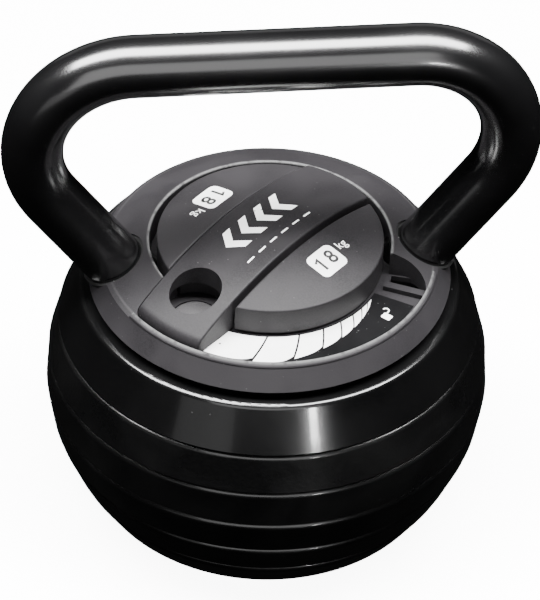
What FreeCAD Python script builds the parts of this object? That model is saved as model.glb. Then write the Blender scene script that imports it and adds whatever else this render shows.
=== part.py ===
"""Adjustable kettlebell: a bent tube handle, a domed cover with a lever lock, and a stack of cast rings.

The frame is in millimetres, +Z up, with the origin on the floor at the centre of the base.
Every driving size is a cell of the sheet "Sizes"; every sub-part is bound to those cells.
"""

import FreeCAD, Part
import math
import os
import re
import Sketcher

V = FreeCAD.Vector
Z_AXIS = V(0, 0, 1)
Y_AXIS = V(0, 1, 0)

SIZES = {
    # weight stack, a ball shape cut into rings
    "floor_gap": 1.5,
    "base_top": 18.2,
    "ring_pitch": 18.1,
    "top_land": 2.3,
    "rim_width": 6.8,
    "belly_height": 56.0,
    "upper_drop": 15.6,
    "lower_drop": 19.5,
    "ring_edge_round": 2.6,
    "ring_seam": 1.1,
    "seam_depth": 9.0,
    "hub_wall": 7.6,
    "relief_margin": 19.0,
    "relief_depth": 6.2,
    # core tube that the rings hang on
    "core_radius": 25.0,
    "core_wall": 3.5,
    "core_clearance": 0.4,
    "core_bottom": 2.0,
    "slot_clearance": 0.7,
    "lug_side_clearance": 0.4,
    "lug_rise": 7.6,
    "lug_height": 5.5,
    "lug_overlap": 4.8,
    "lobe_gap": 0.4,
    "lobe_height": 3.4,
    "lobe_end_gap": 1.7,
    "lobe_side": 0.5,
    # selector shaft and what turns on it
    "shaft_radius": 7.0,
    "square_flat": 1.0,
    "square_drop": 6.4,
    "pilot_step": 3.0,
    "pilot_clearance": 0.08,
    "pilot_bottom": 1.0,
    "pilot_end_gap": 0.5,
    "shaft_proud": 0.5,
    "thread_depth": 18.0,
    "screw_end_gap": 2.0,
    "foot_spigot_gap": 0.4,
    "spacer_clearance": 0.12,
    "spacer_wall": 1.9,
    "bush_wall": 3.0,
    "bush_clearance": 0.05,
    "bush_flange_reach": 7.0,
    "bush_flange_height": 2.0,
    "washer_height": 1.0,
    "washer_reach": 5.5,
    "clip_height": 1.2,
    "clip_reach": 3.5,
    "clip_groove": 0.8,
    "clip_clearance": 0.2,
    "cam_reach": 9.0,
    "cam_height": 3.0,
    "cam_room": 1.0,
    "notch_radius": 2.6,
    "nub_clearance": 0.4,
    "leaf_gap": 0.6,
    "leaf_half": 17.0,
    "leaf_thickness": 0.8,
    "post_radius": 2.0,
    "post_gap": 1.0,
    "lever_travel": 88.0,
    # carrier plate and handle
    "carrier_thickness": 5.0,
    "carrier_margin": 3.0,
    "carrier_clearance": 0.6,
    "tube_radius": 13.4,
    "tube_wall": 2.6,
    "bar_rise": 120.4,
    "bend_radius": 44.0,
    "leg_angle": 35.2,
    "leg_gap": 0.75,
    "handle_turn": 7.0,
    # cover
    "cover_gap": 4.3,
    "cover_flank": 5.8,
    "shoulder_rise": 3.07,
    "dome_radius": 155.0,
    "cover_wall": 2.6,
    "well_gap": 3.2,
    "pocket_gap": 1.4,
    "pocket_side_gap": 1.0,
    "pocket_corner": 6.0,
    "pocket_end_round": 13.0,
    "pocket_after": 32.6,
    "lip_width": 2.2,
    "lip_height": 0.9,
    "skirt_inset": 0.6,
    "collar_width": 1.4,
    "collar_clearance": 0.1,
    "collar_drop": 1.0,
    "boss_radius": 4.6,
    "boss_inset": 10.0,
    "cover_screw_radius": 2.0,
    "cover_screw_head": 4.0,
    "cover_screw_sink": 2.0,
    "label_inset": 0.6,
    "label_margin": 3.0,
    "label_thickness": 0.3,
    "label_before": 11.6,
    "label_after": 5.0,
    "ridge_width": 3.6,
    "ridge_after": 22.6,
    "ridge_height": 2.4,
    "pit_after": 25.2,
    "pit_sweep": 6.4,
    "pit_inner_margin": 1.3,
    "pit_outer_margin": 1.9,
    # knob and lever
    "lever_turn": 231.4,
    "knob_radius": 50.0,
    "knob_lift": 1.6,
    "bar_proud": 1.9,
    "cap_wall": 2.4,
    "cap_groove": 1.5,
    "plate_height": 4.4,
    "plate_margin": 0.6,
    "lever_overhang": 21.0,
    "lever_overlap": 1.6,
    "lever_lift": 0.9,
    "nose_round": 5.8,
    "edge_round": 0.9,
    "finger_hole_radius": 11.4,
    "finger_hole_inset": 20.6,
    "cavity_margin": 3.0,
    "cavity_wall": 2.9,
    "cavity_height": 9.6,
    "hub_reach": 4.0,
    "hub_clearance": 1.0,
    "knob_screw_radius": 2.5,
    "knob_screw_head": 5.0,
    "knob_screw_head_height": 3.0,
    "cap_screw_radius": 1.5,
    "cap_screw_head": 2.8,
    "cap_screw_head_height": 1.8,
    "cap_screw_length": 8.4,
    "cap_boss_radius": 3.6,
    "cap_screw_inset": 30.0,
    "cap_screw_aside": 11.2,
    "bar_screw_inset": 20.0,
    "bar_screw_gap": 11.0,
    # release button in the cover's floor, under the finger hole
    "button_inset": 1.1,
    "button_clearance": 0.35,
    "button_flange_width": 1.9,
    "button_flange_height": 1.3,
    "button_flange_gap": 0.4,
    "button_proud": 0.5,
    "button_round": 1.3,
    "spring_radius": 6.0,
    "spring_wire": 0.6,
    # rubber ring under the base
    "foot_inset": 10.5,
    "foot_width": 10.0,
    "foot_land": 3.0,
    "foot_ring_height": 4.5,
}

doc = FreeCAD.newDocument("kettlebell")
sheet = doc.addObject("Spreadsheet::Sheet", "Sizes")
for row, (alias, size) in enumerate(SIZES.items(), start=1):
    sheet.set("A%d" % row, alias)
    sheet.set("B%d" % row, str(size))
    sheet.setAlias("B%d" % row, alias)
doc.recompute()

SUBPARTS = []


def formula(text):
    """Write the sheet's name in front of every size that a formula uses."""
    return re.sub(r"[a-z][a-z_0-9]*", lambda m: "Sizes." + m[0] if m[0] in SIZES else m[0], text)


def bind(item, **formulas):
    """Bind properties of an object; a double underscore stands for the dot of a sub-property."""
    for name, text in formulas.items():
        item.setExpression(name.replace("__", "."), formula(text))


def number(text):
    """The present value of a formula, for the first guess of a sketch."""
    cell.setExpression("value", formula(text))
    cell.recompute()
    return float(cell.value)


cell = doc.addObject("App::FeaturePython", "FormulaReader")
cell.addProperty("App::PropertyFloat", "value")


def keep(item, label):
    """Give a finished sub-part its label, which names its file."""
    item.Label = label
    SUBPARTS.append(item)
    return item


def place(item, x="0", y="0", z="0", turn=None, about=Z_AXIS):
    """Bind an object's placement, turned by a formula in degrees about one axis."""
    if turn is not None:
        item.Placement = FreeCAD.Placement(V(), FreeCAD.Rotation(about, 1))
        bind(item, Placement__Rotation__Angle=turn)
    for axis, text in (("x", x), ("y", y), ("z", z)):
        if text != "0":
            item.setExpression("Placement.Base." + axis, formula(text))
    return item


def cylinder(name, radius, height, z="0", x="0", y="0", sweep=None, turn=None, about=Z_AXIS):
    item = doc.addObject("Part::Cylinder", name)
    bind(item, Radius=radius, Height=height)
    if sweep:
        bind(item, Angle=sweep)
    return place(item, x, y, z, turn, about)


def cone(name, bottom_radius, top_radius, height, z="0", x="0", y="0"):
    item = doc.addObject("Part::Cone", name)
    bind(item, Radius1=bottom_radius, Radius2=top_radius, Height=height)
    return place(item, x, y, z)


def box(name, x, y, z, length, width, height):
    item = doc.addObject("Part::Box", name)
    bind(item, Length=length, Width=width, Height=height)
    return place(item, x, y, z)


def cut(name, base, tool):
    item = doc.addObject("Part::Cut", name)
    item.Base = base
    item.Tool = tool
    return item


def common(name, first, second):
    item = doc.addObject("Part::MultiCommon", name)
    item.Shapes = [first, second]
    return item


def fuse(name, *pieces):
    item = doc.addObject("Part::MultiFuse", name)
    item.Shapes = list(pieces)
    item.Refine = True
    return item


def group(name, pieces):
    """Identical fasteners and the like: separate solids in one node."""
    item = doc.addObject("Part::Compound", name)
    item.Links = list(pieces)
    return item


def turned(item, turn):
    """Turn a finished piece as a whole about Z."""
    item.Placement = FreeCAD.Placement(V(), FreeCAD.Rotation(Z_AXIS, 1))
    bind(item, Placement__Rotation__Angle=turn)
    return item


def fillet(name, base, radius, test):
    """Round the edges whose geometry passes a test, found again for every set of sizes."""
    doc.recompute()
    edges = [n for n, edge in enumerate(base.Shape.Edges, start=1) if test(edge)]
    item = doc.addObject("Part::Fillet", name)
    item.Base = base
    item.Edges = [(n, radius, radius) for n in edges]
    return item


def is_upright(edge):
    return edge.BoundBox.XLength < 0.01 and edge.BoundBox.YLength < 0.01


def is_flat_arc(edge, level):
    return edge.BoundBox.ZLength < 0.01 and abs(edge.BoundBox.ZMax - level) < 0.01


def origin_plane(body, role):
    return [feature for feature in body.Origin.OriginFeatures if feature.Role == role][0]


def sketch_in(body, name, role):
    sketch = body.newObject("Sketcher::SketchObject", name)
    sketch.AttachmentSupport = [(origin_plane(body, role), "")]
    sketch.MapMode = "FlatFace"
    return sketch


def pin_point(sketch, edge, end, across, up):
    """Hold one end of a sketch line at (across, up), each a formula of the sheet."""
    for kind, text, axis in (("DistanceX", across, -2), ("DistanceY", up, -1)):
        if text == "0":
            sketch.addConstraint(Sketcher.Constraint("PointOnObject", edge, end, axis))
            continue
        index = sketch.addConstraint(Sketcher.Constraint(kind, -1, 1, edge, end, number(text)))
        sketch.setExpression("Constraints[%d]" % index, formula(text))


def closed_outline(sketch, corners):
    """A closed polygon through (radius, height) corners."""
    spots = [V(number(across), number(up), 0) for across, up in corners]
    for n, spot in enumerate(spots):
        sketch.addGeometry(Part.LineSegment(spot, spots[(n + 1) % len(spots)]), False)
    for n, (across, up) in enumerate(corners):
        sketch.addConstraint(Sketcher.Constraint("Coincident", n, 2, (n + 1) % len(corners), 1))
        pin_point(sketch, n, 1, across, up)


def spun(name, corners):
    """A body turned about Z from one closed outline."""
    body = doc.addObject("PartDesign::Body", name)
    outline = sketch_in(body, name + "Outline", "XZ_Plane")
    closed_outline(outline, corners)
    revolution = body.newObject("PartDesign::Revolution", name + "Turned")
    revolution.Profile = outline
    revolution.ReferenceAxis = (outline, ["V_Axis"])
    revolution.Angle = 360
    return body


def dome(name, inner, outer_bottom, outer_top, bottom, apex, sweep=None):
    """A disc or ring with a spherical top, turned about Z; a swept one is centred on +X."""
    sketch = doc.addObject("Sketcher::SketchObject", name + "Outline")
    sketch.Placement = FreeCAD.Placement(V(), FreeCAD.Rotation(V(1, 0, 0), 90))
    radius = number("dome_radius")
    centre = number(apex) - radius
    x_in, x_low, x_top, z_low = (number(text) for text in (inner, outer_bottom, outer_top, bottom))
    z_in = centre + math.sqrt(radius**2 - x_in**2)
    z_top = centre + math.sqrt(radius**2 - x_top**2)
    corners = [V(x_in, z_low, 0), V(x_low, z_low, 0), V(x_top, z_top, 0), V(x_in, z_in, 0)]
    floor_line, side_line, inner_line, top_arc = range(4)
    sketch.addGeometry(Part.LineSegment(corners[0], corners[1]), False)
    sketch.addGeometry(Part.LineSegment(corners[1], corners[2]), False)
    sketch.addGeometry(Part.LineSegment(corners[3], corners[0]), False)
    start = math.atan2(z_top - centre, x_top)
    finish = math.atan2(z_in - centre, x_in)
    circle = Part.Circle(V(0, centre, 0), Z_AXIS, radius)
    sketch.addGeometry(Part.ArcOfCircle(circle, start, finish), False)
    for first, second in (((0, 2), (1, 1)), ((1, 2), (3, 1)), ((3, 2), (2, 1)), ((2, 2), (0, 1))):
        sketch.addConstraint(Sketcher.Constraint("Coincident", *first, *second))
    pin_point(sketch, floor_line, 1, inner, bottom)
    pin_point(sketch, floor_line, 2, outer_bottom, bottom)
    pin_point(sketch, top_arc, 3, "0", "%s - dome_radius" % apex)
    index = sketch.addConstraint(Sketcher.Constraint("Radius", top_arc, radius))
    sketch.setExpression("Constraints[%d]" % index, formula("dome_radius"))
    sketch.addConstraint(Sketcher.Constraint("Vertical", inner_line))
    index = sketch.addConstraint(Sketcher.Constraint("DistanceX", -1, 1, side_line, 2, x_top))
    sketch.setExpression("Constraints[%d]" % index, formula(outer_top))
    item = doc.addObject("Part::Revolution", name)
    item.Source = sketch
    item.Axis = Z_AXIS
    item.Base = V()
    item.Solid = True
    item.Symmetric = sweep is not None
    item.Angle = 360
    if sweep:
        bind(item, Angle=sweep)
    return item


# Levels and radii that several pieces share, as formulas of the sheet.
RINGS = 5
TOP_RING_HEIGHT = "(lug_rise + lug_height + lobe_gap + top_land + carrier_thickness)"
STACK_TOP = "(base_top + %d * ring_pitch + %s)" % (RINGS - 1, TOP_RING_HEIGHT)
CARRIER_BOTTOM = "(%s - carrier_thickness)" % STACK_TOP
COVER_BOTTOM = "(%s + cover_gap)" % STACK_TOP
WASHER_BOTTOM = "(%s + bush_flange_height)" % STACK_TOP
CAM_BOTTOM = "(%s + washer_height)" % WASHER_BOTTOM
CAM_TOP = "(%s + cam_height)" % CAM_BOTTOM
FLOOR_UNDERSIDE = "(%s + cam_room)" % CAM_TOP
COVER_FLOOR = "(%s + cover_wall)" % FLOOR_UNDERSIDE
KNOB_BOTTOM = "(%s + knob_lift)" % COVER_FLOOR
PLATE_TOP = "(%s + plate_height)" % KNOB_BOTTOM
LEVER_BOTTOM = "(%s + lever_lift)" % COVER_FLOOR
SHAFT_TOP = "(%s + shaft_proud)" % COVER_FLOOR
SQUARE_TOP = "(%s - square_drop)" % CARRIER_BOTTOM
CLIP_BOTTOM = "(%s - clip_clearance - clip_height)" % CARRIER_BOTTOM
LOBE_RISE = "(lug_rise - lobe_gap - lobe_height)"

WELL_RADIUS = "(knob_radius + well_gap)"
LEVER_REACH = "(knob_radius + lever_overhang)"
POCKET_RADIUS = "(%s + pocket_gap)" % LEVER_REACH
COVER_SHOULDER = "(%s + lip_width)" % POCKET_RADIUS
COVER_RADIUS = "(%s + cover_flank)" % COVER_SHOULDER
SKIRT_RADIUS = "(%s - skirt_inset)" % COVER_SHOULDER
CARRIER_RADIUS = "(%s + carrier_margin)" % SKIRT_RADIUS
RECESS_RADIUS = "(%s + carrier_clearance)" % CARRIER_RADIUS
BELLY_RADIUS = "(%s + rim_width + upper_drop)" % RECESS_RADIUS
FOOT_OUTER = "(%s - lower_drop - foot_inset)" % BELLY_RADIUS
FOOT_INNER = "(%s - foot_width)" % FOOT_OUTER
BOSS_CIRCLE = "(%s - boss_inset)" % SKIRT_RADIUS
BORE = "(core_radius + core_clearance)"
CORE_INSIDE = "(core_radius - core_wall)"
SHAFT_SQUARE = "(2 * (shaft_radius - square_flat))"
LOBE_REACH = "(%s - lobe_end_gap)" % CORE_INSIDE
LOBE_WIDTH = "(%s + 2 * lobe_side)" % SHAFT_SQUARE
SLOT_WIDTH = "(%s + 2 * slot_clearance)" % LOBE_WIDTH
LUG_TIP = "(%s - lug_overlap)" % LOBE_REACH
PILOT_RADIUS = "(shaft_radius - pilot_step)"
BUSH_BORE = "(shaft_radius + bush_clearance)"
CAM_RADIUS = "(shaft_radius + cam_reach)"
HUB_RADIUS = "(shaft_radius + hub_reach)"
LEG_HOLE = "(tube_radius + collar_clearance + collar_width)"

COVER_APEX = "(%s + shoulder_rise + dome_radius - sqrt(dome_radius^2 - %s^2))" % (COVER_FLOOR, COVER_SHOULDER)
KNOB_APEX = "(%s + bar_proud)" % COVER_APEX
LEVER_HALF_WIDTH = "(finger_hole_radius + cavity_margin + cavity_wall)"
CAVITY_RADIUS = "(finger_hole_radius + cavity_margin)"
FINGER_HOLE_AT = "(%s - finger_hole_inset)" % LEVER_REACH
BUTTON_RADIUS = "(finger_hole_radius - button_inset)"
BUTTON_X = FINGER_HOLE_AT + " * cos(lever_turn)"
BUTTON_Y = FINGER_HOLE_AT + " * sin(lever_turn)"
POCKET_SIDE = "(%s + pocket_side_gap)" % LEVER_HALF_WIDTH
POCKET_BEFORE = "(asin(%s / %s) / 1 deg)" % (POCKET_SIDE, POCKET_RADIUS)
POCKET_SWEEP = "(%s + lever_travel + pocket_after)" % POCKET_BEFORE
POCKET_MIDDLE = "(lever_turn - %s + %s / 2)" % (POCKET_BEFORE, POCKET_SWEEP)

# The handle's leg stands outside the knob, and the bar's length follows from its slant.
BAR_HEIGHT = "(%s + bar_rise)" % STACK_TOP
BEND_END = "(%s - bend_radius * (1 + sin(leg_angle)))" % BAR_HEIGHT
LEG_AT_KNOB = "(knob_radius + leg_gap + tube_radius / cos(leg_angle))"
LEG_AT_BEND = "(%s + (%s - %s) * tan(leg_angle))" % (LEG_AT_KNOB, BEND_END, KNOB_BOTTOM)
BAR_HALF = "(%s - bend_radius * cos(leg_angle))" % LEG_AT_BEND

# How far a tool runs past what it cuts, and the length of one that passes right through.
PAST = "1"
THROUGH = "300"
LEG_TOOL = "80"


def ring_level(n):
    """Bottom of ring n, counted from 1 at the top of the stack."""
    return "(base_top + %d * ring_pitch)" % (RINGS - n)


def ring_top(n):
    return STACK_TOP if n == 1 else ring_level(n - 1)


def ball_radius(level, upper):
    """Radius of the ball shape at a level above or below its belly."""
    drop = "upper_drop" if upper else "lower_drop"
    span = "(%s - belly_height)" % STACK_TOP if upper else "belly_height"
    return "(%s - %s * (%s - belly_height)^2 / %s^2)" % (BELLY_RADIUS, drop, level, span)


def hung(name, body, level):
    """Add the two lugs by which a ring hangs on the lock lobes."""
    bar = box(
        name + "LugBar",
        "-%s - %s" % (BORE, PAST),
        "-%s / 2 + lug_side_clearance" % SLOT_WIDTH,
        "%s + lug_rise" % level,
        "2 * (%s + %s)" % (BORE, PAST),
        SLOT_WIDTH + " - 2 * lug_side_clearance",
        "lug_height",
    )
    middle = cylinder(name + "LugMiddle", LUG_TIP, "lug_height", "%s + lug_rise" % level)
    lugs = cut(name + "Lugs", bar, middle)
    return turned(fuse(name, body, lugs), "lever_turn")


def rounded_rim(name, body, radius, level):
    """Round the outer top edge of a ring, at a given level."""
    height = number(level)
    return fillet(
        name,
        body,
        number(radius),
        lambda edge: edge.BoundBox.ZLength < 0.01
        and abs(edge.BoundBox.ZMax - height) < 0.01
        and edge.BoundBox.XMax > number("%s + %s" % (RECESS_RADIUS, PAST)),
    )


def make_ring(n):
    low, high = ring_level(n), ring_top(n)
    upper = n <= 3
    foot = ball_radius(low, upper)
    top = ball_radius(high, upper)
    corners = [
        (BORE, low),
        (BORE + " + hub_wall", low),
        (BORE + " + hub_wall", low + " + relief_depth"),
        (foot + " - relief_margin", low + " + relief_depth"),
        (foot + " - relief_margin", low),
        (foot + " - seam_depth", low),
        (foot + " - seam_depth", low + " + ring_seam"),
        (foot, low + " + ring_seam"),
        (top, high),
    ]
    if n == 1:
        corners += [(RECESS_RADIUS, high), (RECESS_RADIUS, CARRIER_BOTTOM), (BORE, CARRIER_BOTTOM)]
    else:
        corners += [(BORE, high)]
    body = spun("Ring%dBody" % n, corners)
    rim = rounded_rim("Ring%dRim" % n, body, "ring_edge_round", high)
    keep(hung("Ring%d" % n, rim, low), "weight_plate_%d" % n)


def make_base():
    low = ball_radius("floor_gap", False)
    top = ball_radius("base_top", False)
    corners = [
        (BORE, "floor_gap"),
        (BORE + " + hub_wall", "floor_gap"),
        (BORE + " + hub_wall", "floor_gap + relief_depth"),
        (FOOT_INNER + " - foot_land", "floor_gap + relief_depth"),
        (FOOT_INNER + " - foot_land", "floor_gap"),
        (FOOT_INNER, "floor_gap"),
        (FOOT_INNER, "foot_ring_height"),
        (FOOT_OUTER, "foot_ring_height"),
        (FOOT_OUTER, "floor_gap"),
        (low, "floor_gap"),
        (top, "base_top"),
        (BORE, "base_top"),
    ]
    body = spun("BaseBody", corners)
    rim = rounded_rim("BaseRim", body, "ring_edge_round", "base_top")
    keep(hung("Base", rim, "0"), "base_plate")
    ring = spun(
        "FootRing",
        [
            (FOOT_INNER, "0"),
            (FOOT_OUTER, "0"),
            (FOOT_OUTER, "foot_ring_height"),
            (FOOT_INNER, "foot_ring_height"),
        ],
    )
    keep(ring, "foot_ring")


def slot_bar(name, low, high):
    """The space of the two lug slots, right across the core."""
    x, length = "-core_radius - " + PAST, "2 * (core_radius + %s)" % PAST
    return box(name, x, "-%s / 2" % SLOT_WIDTH, low, length, SLOT_WIDTH, high + " - " + low)


def make_core():
    height = "%s - core_bottom" % CARRIER_BOTTOM
    outside = cylinder("CoreOutside", "core_radius", height, "core_bottom")
    inside = cylinder("CoreInside", CORE_INSIDE, height, "core_bottom")
    slot_end = "(%s + lug_rise + lug_height + lobe_gap)" % ring_level(1)
    tube = cut("CoreTube", outside, inside)
    slots = slot_bar("CoreSlots", "core_bottom", slot_end)
    keep(turned(cut("Core", tube, slots), "lever_turn"), "core_tube")

    spigot_top = "(%s - foot_spigot_gap)" % LOBE_RISE
    disc = cylinder("FootDisc", "core_radius", "core_bottom")
    spigot = cylinder("FootSpigot", CORE_INSIDE, spigot_top)
    plug = fuse("FootPlug", disc, spigot)
    pilot_bore = PILOT_RADIUS + " + pilot_clearance"
    pilot = cylinder("FootPilotBore", pilot_bore, spigot_top, "pilot_bottom")
    bar = slot_bar("FootSlots", "-" + PAST, spigot_top + " + " + PAST)
    middle = cylinder("FootMiddle", LUG_TIP + " - lug_side_clearance", THROUGH, "-" + PAST)
    notches = cut("FootNotches", bar, middle)
    bored = cut("FootBored", plug, pilot)
    keep(turned(cut("Foot", bored, notches), "lever_turn"), "core_foot")


def make_carrier():
    disc = cylinder("CarrierDisc", CARRIER_RADIUS, "carrier_thickness", CARRIER_BOTTOM)
    bore = cylinder("CarrierBore", BUSH_BORE + " + bush_wall", THROUGH)
    heads = group("CarrierScrewHoles", cover_screw_shapes("CarrierHole"))
    drilled = cut("CarrierDrilled", disc, bore)
    keep(cut("Carrier", drilled, heads), "carrier_plate")

    sleeve = cylinder("BushSleeve", BUSH_BORE + " + bush_wall", "carrier_thickness", CARRIER_BOTTOM)
    flange = cylinder("BushFlange", "shaft_radius + bush_flange_reach", "bush_flange_height", STACK_TOP)
    body = fuse("BushBody", sleeve, flange)
    hole = cylinder("BushBore", BUSH_BORE, THROUGH)
    keep(cut("Bush", body, hole), "shaft_bush")


COVER_SCREW_ANGLES = (50, 130, 255, 310)


def cover_screw_spots():
    """The four screws sit on one circle, turned away from the handle legs."""
    turns = ["(handle_turn + %d)" % angle for angle in COVER_SCREW_ANGLES]
    return [("%s * cos%s" % (BOSS_CIRCLE, turn), "%s * sin%s" % (BOSS_CIRCLE, turn)) for turn in turns]


def cover_screw_shapes(name):
    """Countersunk screws up through the carrier plate into the cover's bosses."""
    screws = []
    for n, (x, y) in enumerate(cover_screw_spots(), start=1):
        sizes = ("cover_screw_head", "cover_screw_radius", "cover_screw_sink")
        head = cone("%sHead%d" % (name, n), *sizes, CARRIER_BOTTOM, x, y)
        shank_height = "%s - post_gap - %s" % (FLOOR_UNDERSIDE, CARRIER_BOTTOM)
        shank = cylinder("%sShank%d" % (name, n), "cover_screw_radius", shank_height, CARRIER_BOTTOM, x, y)
        screws.append(fuse("%s%d" % (name, n), head, shank))
    return screws


def make_handle():
    body = doc.addObject("PartDesign::Body", "Handle")
    path = sketch_in(body, "HandlePath", "XZ_Plane")
    half, bend, top = number(BAR_HALF), number("bend_radius"), number(BAR_HEIGHT)
    angle = math.radians(number("leg_angle"))
    end = number(CARRIER_BOTTOM)
    bend_x = half + bend * math.cos(angle)
    bend_z = top - bend - bend * math.sin(angle)
    foot_x = bend_x - (bend_z - end) * math.tan(angle)
    bar, arc, leg = range(3)
    path.addGeometry(Part.LineSegment(V(0, top, 0), V(half, top, 0)), False)
    circle = Part.Circle(V(half, top - bend, 0), Z_AXIS, bend)
    path.addGeometry(Part.ArcOfCircle(circle, -angle, math.pi / 2), False)
    path.addGeometry(Part.LineSegment(V(bend_x, bend_z, 0), V(foot_x, end, 0)), False)
    path.addConstraint(Sketcher.Constraint("Tangent", bar, 2, arc, 2))
    path.addConstraint(Sketcher.Constraint("Tangent", arc, 1, leg, 1))
    path.addConstraint(Sketcher.Constraint("Horizontal", bar))
    pin_point(path, bar, 1, "0", BAR_HEIGHT)
    for kind, item, value, text in (
        ("DistanceX", (bar, 1, bar, 2), half, BAR_HALF),
        ("Radius", (arc,), bend, "bend_radius"),
        ("DistanceY", (-1, 1, leg, 2), end, CARRIER_BOTTOM),
    ):
        index = path.addConstraint(Sketcher.Constraint(kind, *item, value))
        path.setExpression("Constraints[%d]" % index, formula(text))
    index = path.addConstraint(Sketcher.Constraint("Angle", -2, leg, math.radians(180) - angle))
    path.setExpression("Constraints[%d]" % index, formula("(180 - leg_angle) * 1 deg"))
    for kind, name, radius in (
        ("AdditivePipe", "HandleOutside", "tube_radius"),
        ("SubtractivePipe", "HandleInside", "tube_radius - tube_wall"),
    ):
        section = sketch_in(body, name + "Section", "YZ_Plane")
        section.addGeometry(Part.Circle(V(0, top, 0), Z_AXIS, number(radius)), False)
        pin_point(section, 0, 3, "0", BAR_HEIGHT)
        index = section.addConstraint(Sketcher.Constraint("Radius", 0, number(radius)))
        section.setExpression("Constraints[%d]" % index, formula(radius))
        pipe = body.newObject("PartDesign::" + kind, name)
        pipe.Profile = section
        pipe.Spine = (path, [])
        doc.recompute()
    mirrored = body.newObject("PartDesign::Mirrored", "HandleMirrored")
    mirrored.Originals = [body.getObject("HandleOutside"), body.getObject("HandleInside")]
    mirrored.MirrorPlane = (origin_plane(body, "YZ_Plane"), [""])
    body.Tip = mirrored
    corner, across = "-" + THROUGH, "2 * " + THROUGH
    below = box("BelowCarrier", corner, corner, "0", across, across, STACK_TOP)
    keep(turned(cut("HandleTrimmed", body, below), "handle_turn"), "handle")


def leg_tool(name, radius, side, level):
    """A cylinder along one handle leg, starting on the leg's axis at a level; side is 1 or -1."""
    x = "%d * (%s - (%s - %s) * tan(leg_angle))" % (side, LEG_AT_BEND, BEND_END, level)
    return cylinder(name, radius, LEG_TOOL, level, x, "0", None, "%d * leg_angle" % side, Y_AXIS)


def make_pocket_space(name, level):
    """The room the lever's end sweeps: a sector, with a straight side along the resting lever."""
    swept = "lever_travel + pocket_after"
    sector = cylinder(name + "Sector", POCKET_RADIUS, THROUGH, level, "0", "0", swept)
    side = box(name + "Strip", "0", "-" + POCKET_SIDE, level, POCKET_RADIUS, POCKET_SIDE, THROUGH)
    side_in = common(name + "Side", side, cylinder(name + "Limit", POCKET_RADIUS, THROUGH, level))
    well_edge = number(WELL_RADIUS)
    rounded = fillet(
        name + "Corner",
        fuse(name + "Space", sector, side_in),
        number("pocket_corner"),
        lambda edge: is_upright(edge) and edge.BoundBox.XMin > well_edge and edge.BoundBox.YMax < 0,
    )
    rounded = fillet(
        name + "End",
        rounded,
        number("pocket_end_round"),
        lambda edge: is_upright(edge) and edge.BoundBox.XMax < 0 and edge.BoundBox.YMin > well_edge,
    )
    return turned(rounded, "lever_turn")


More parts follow.
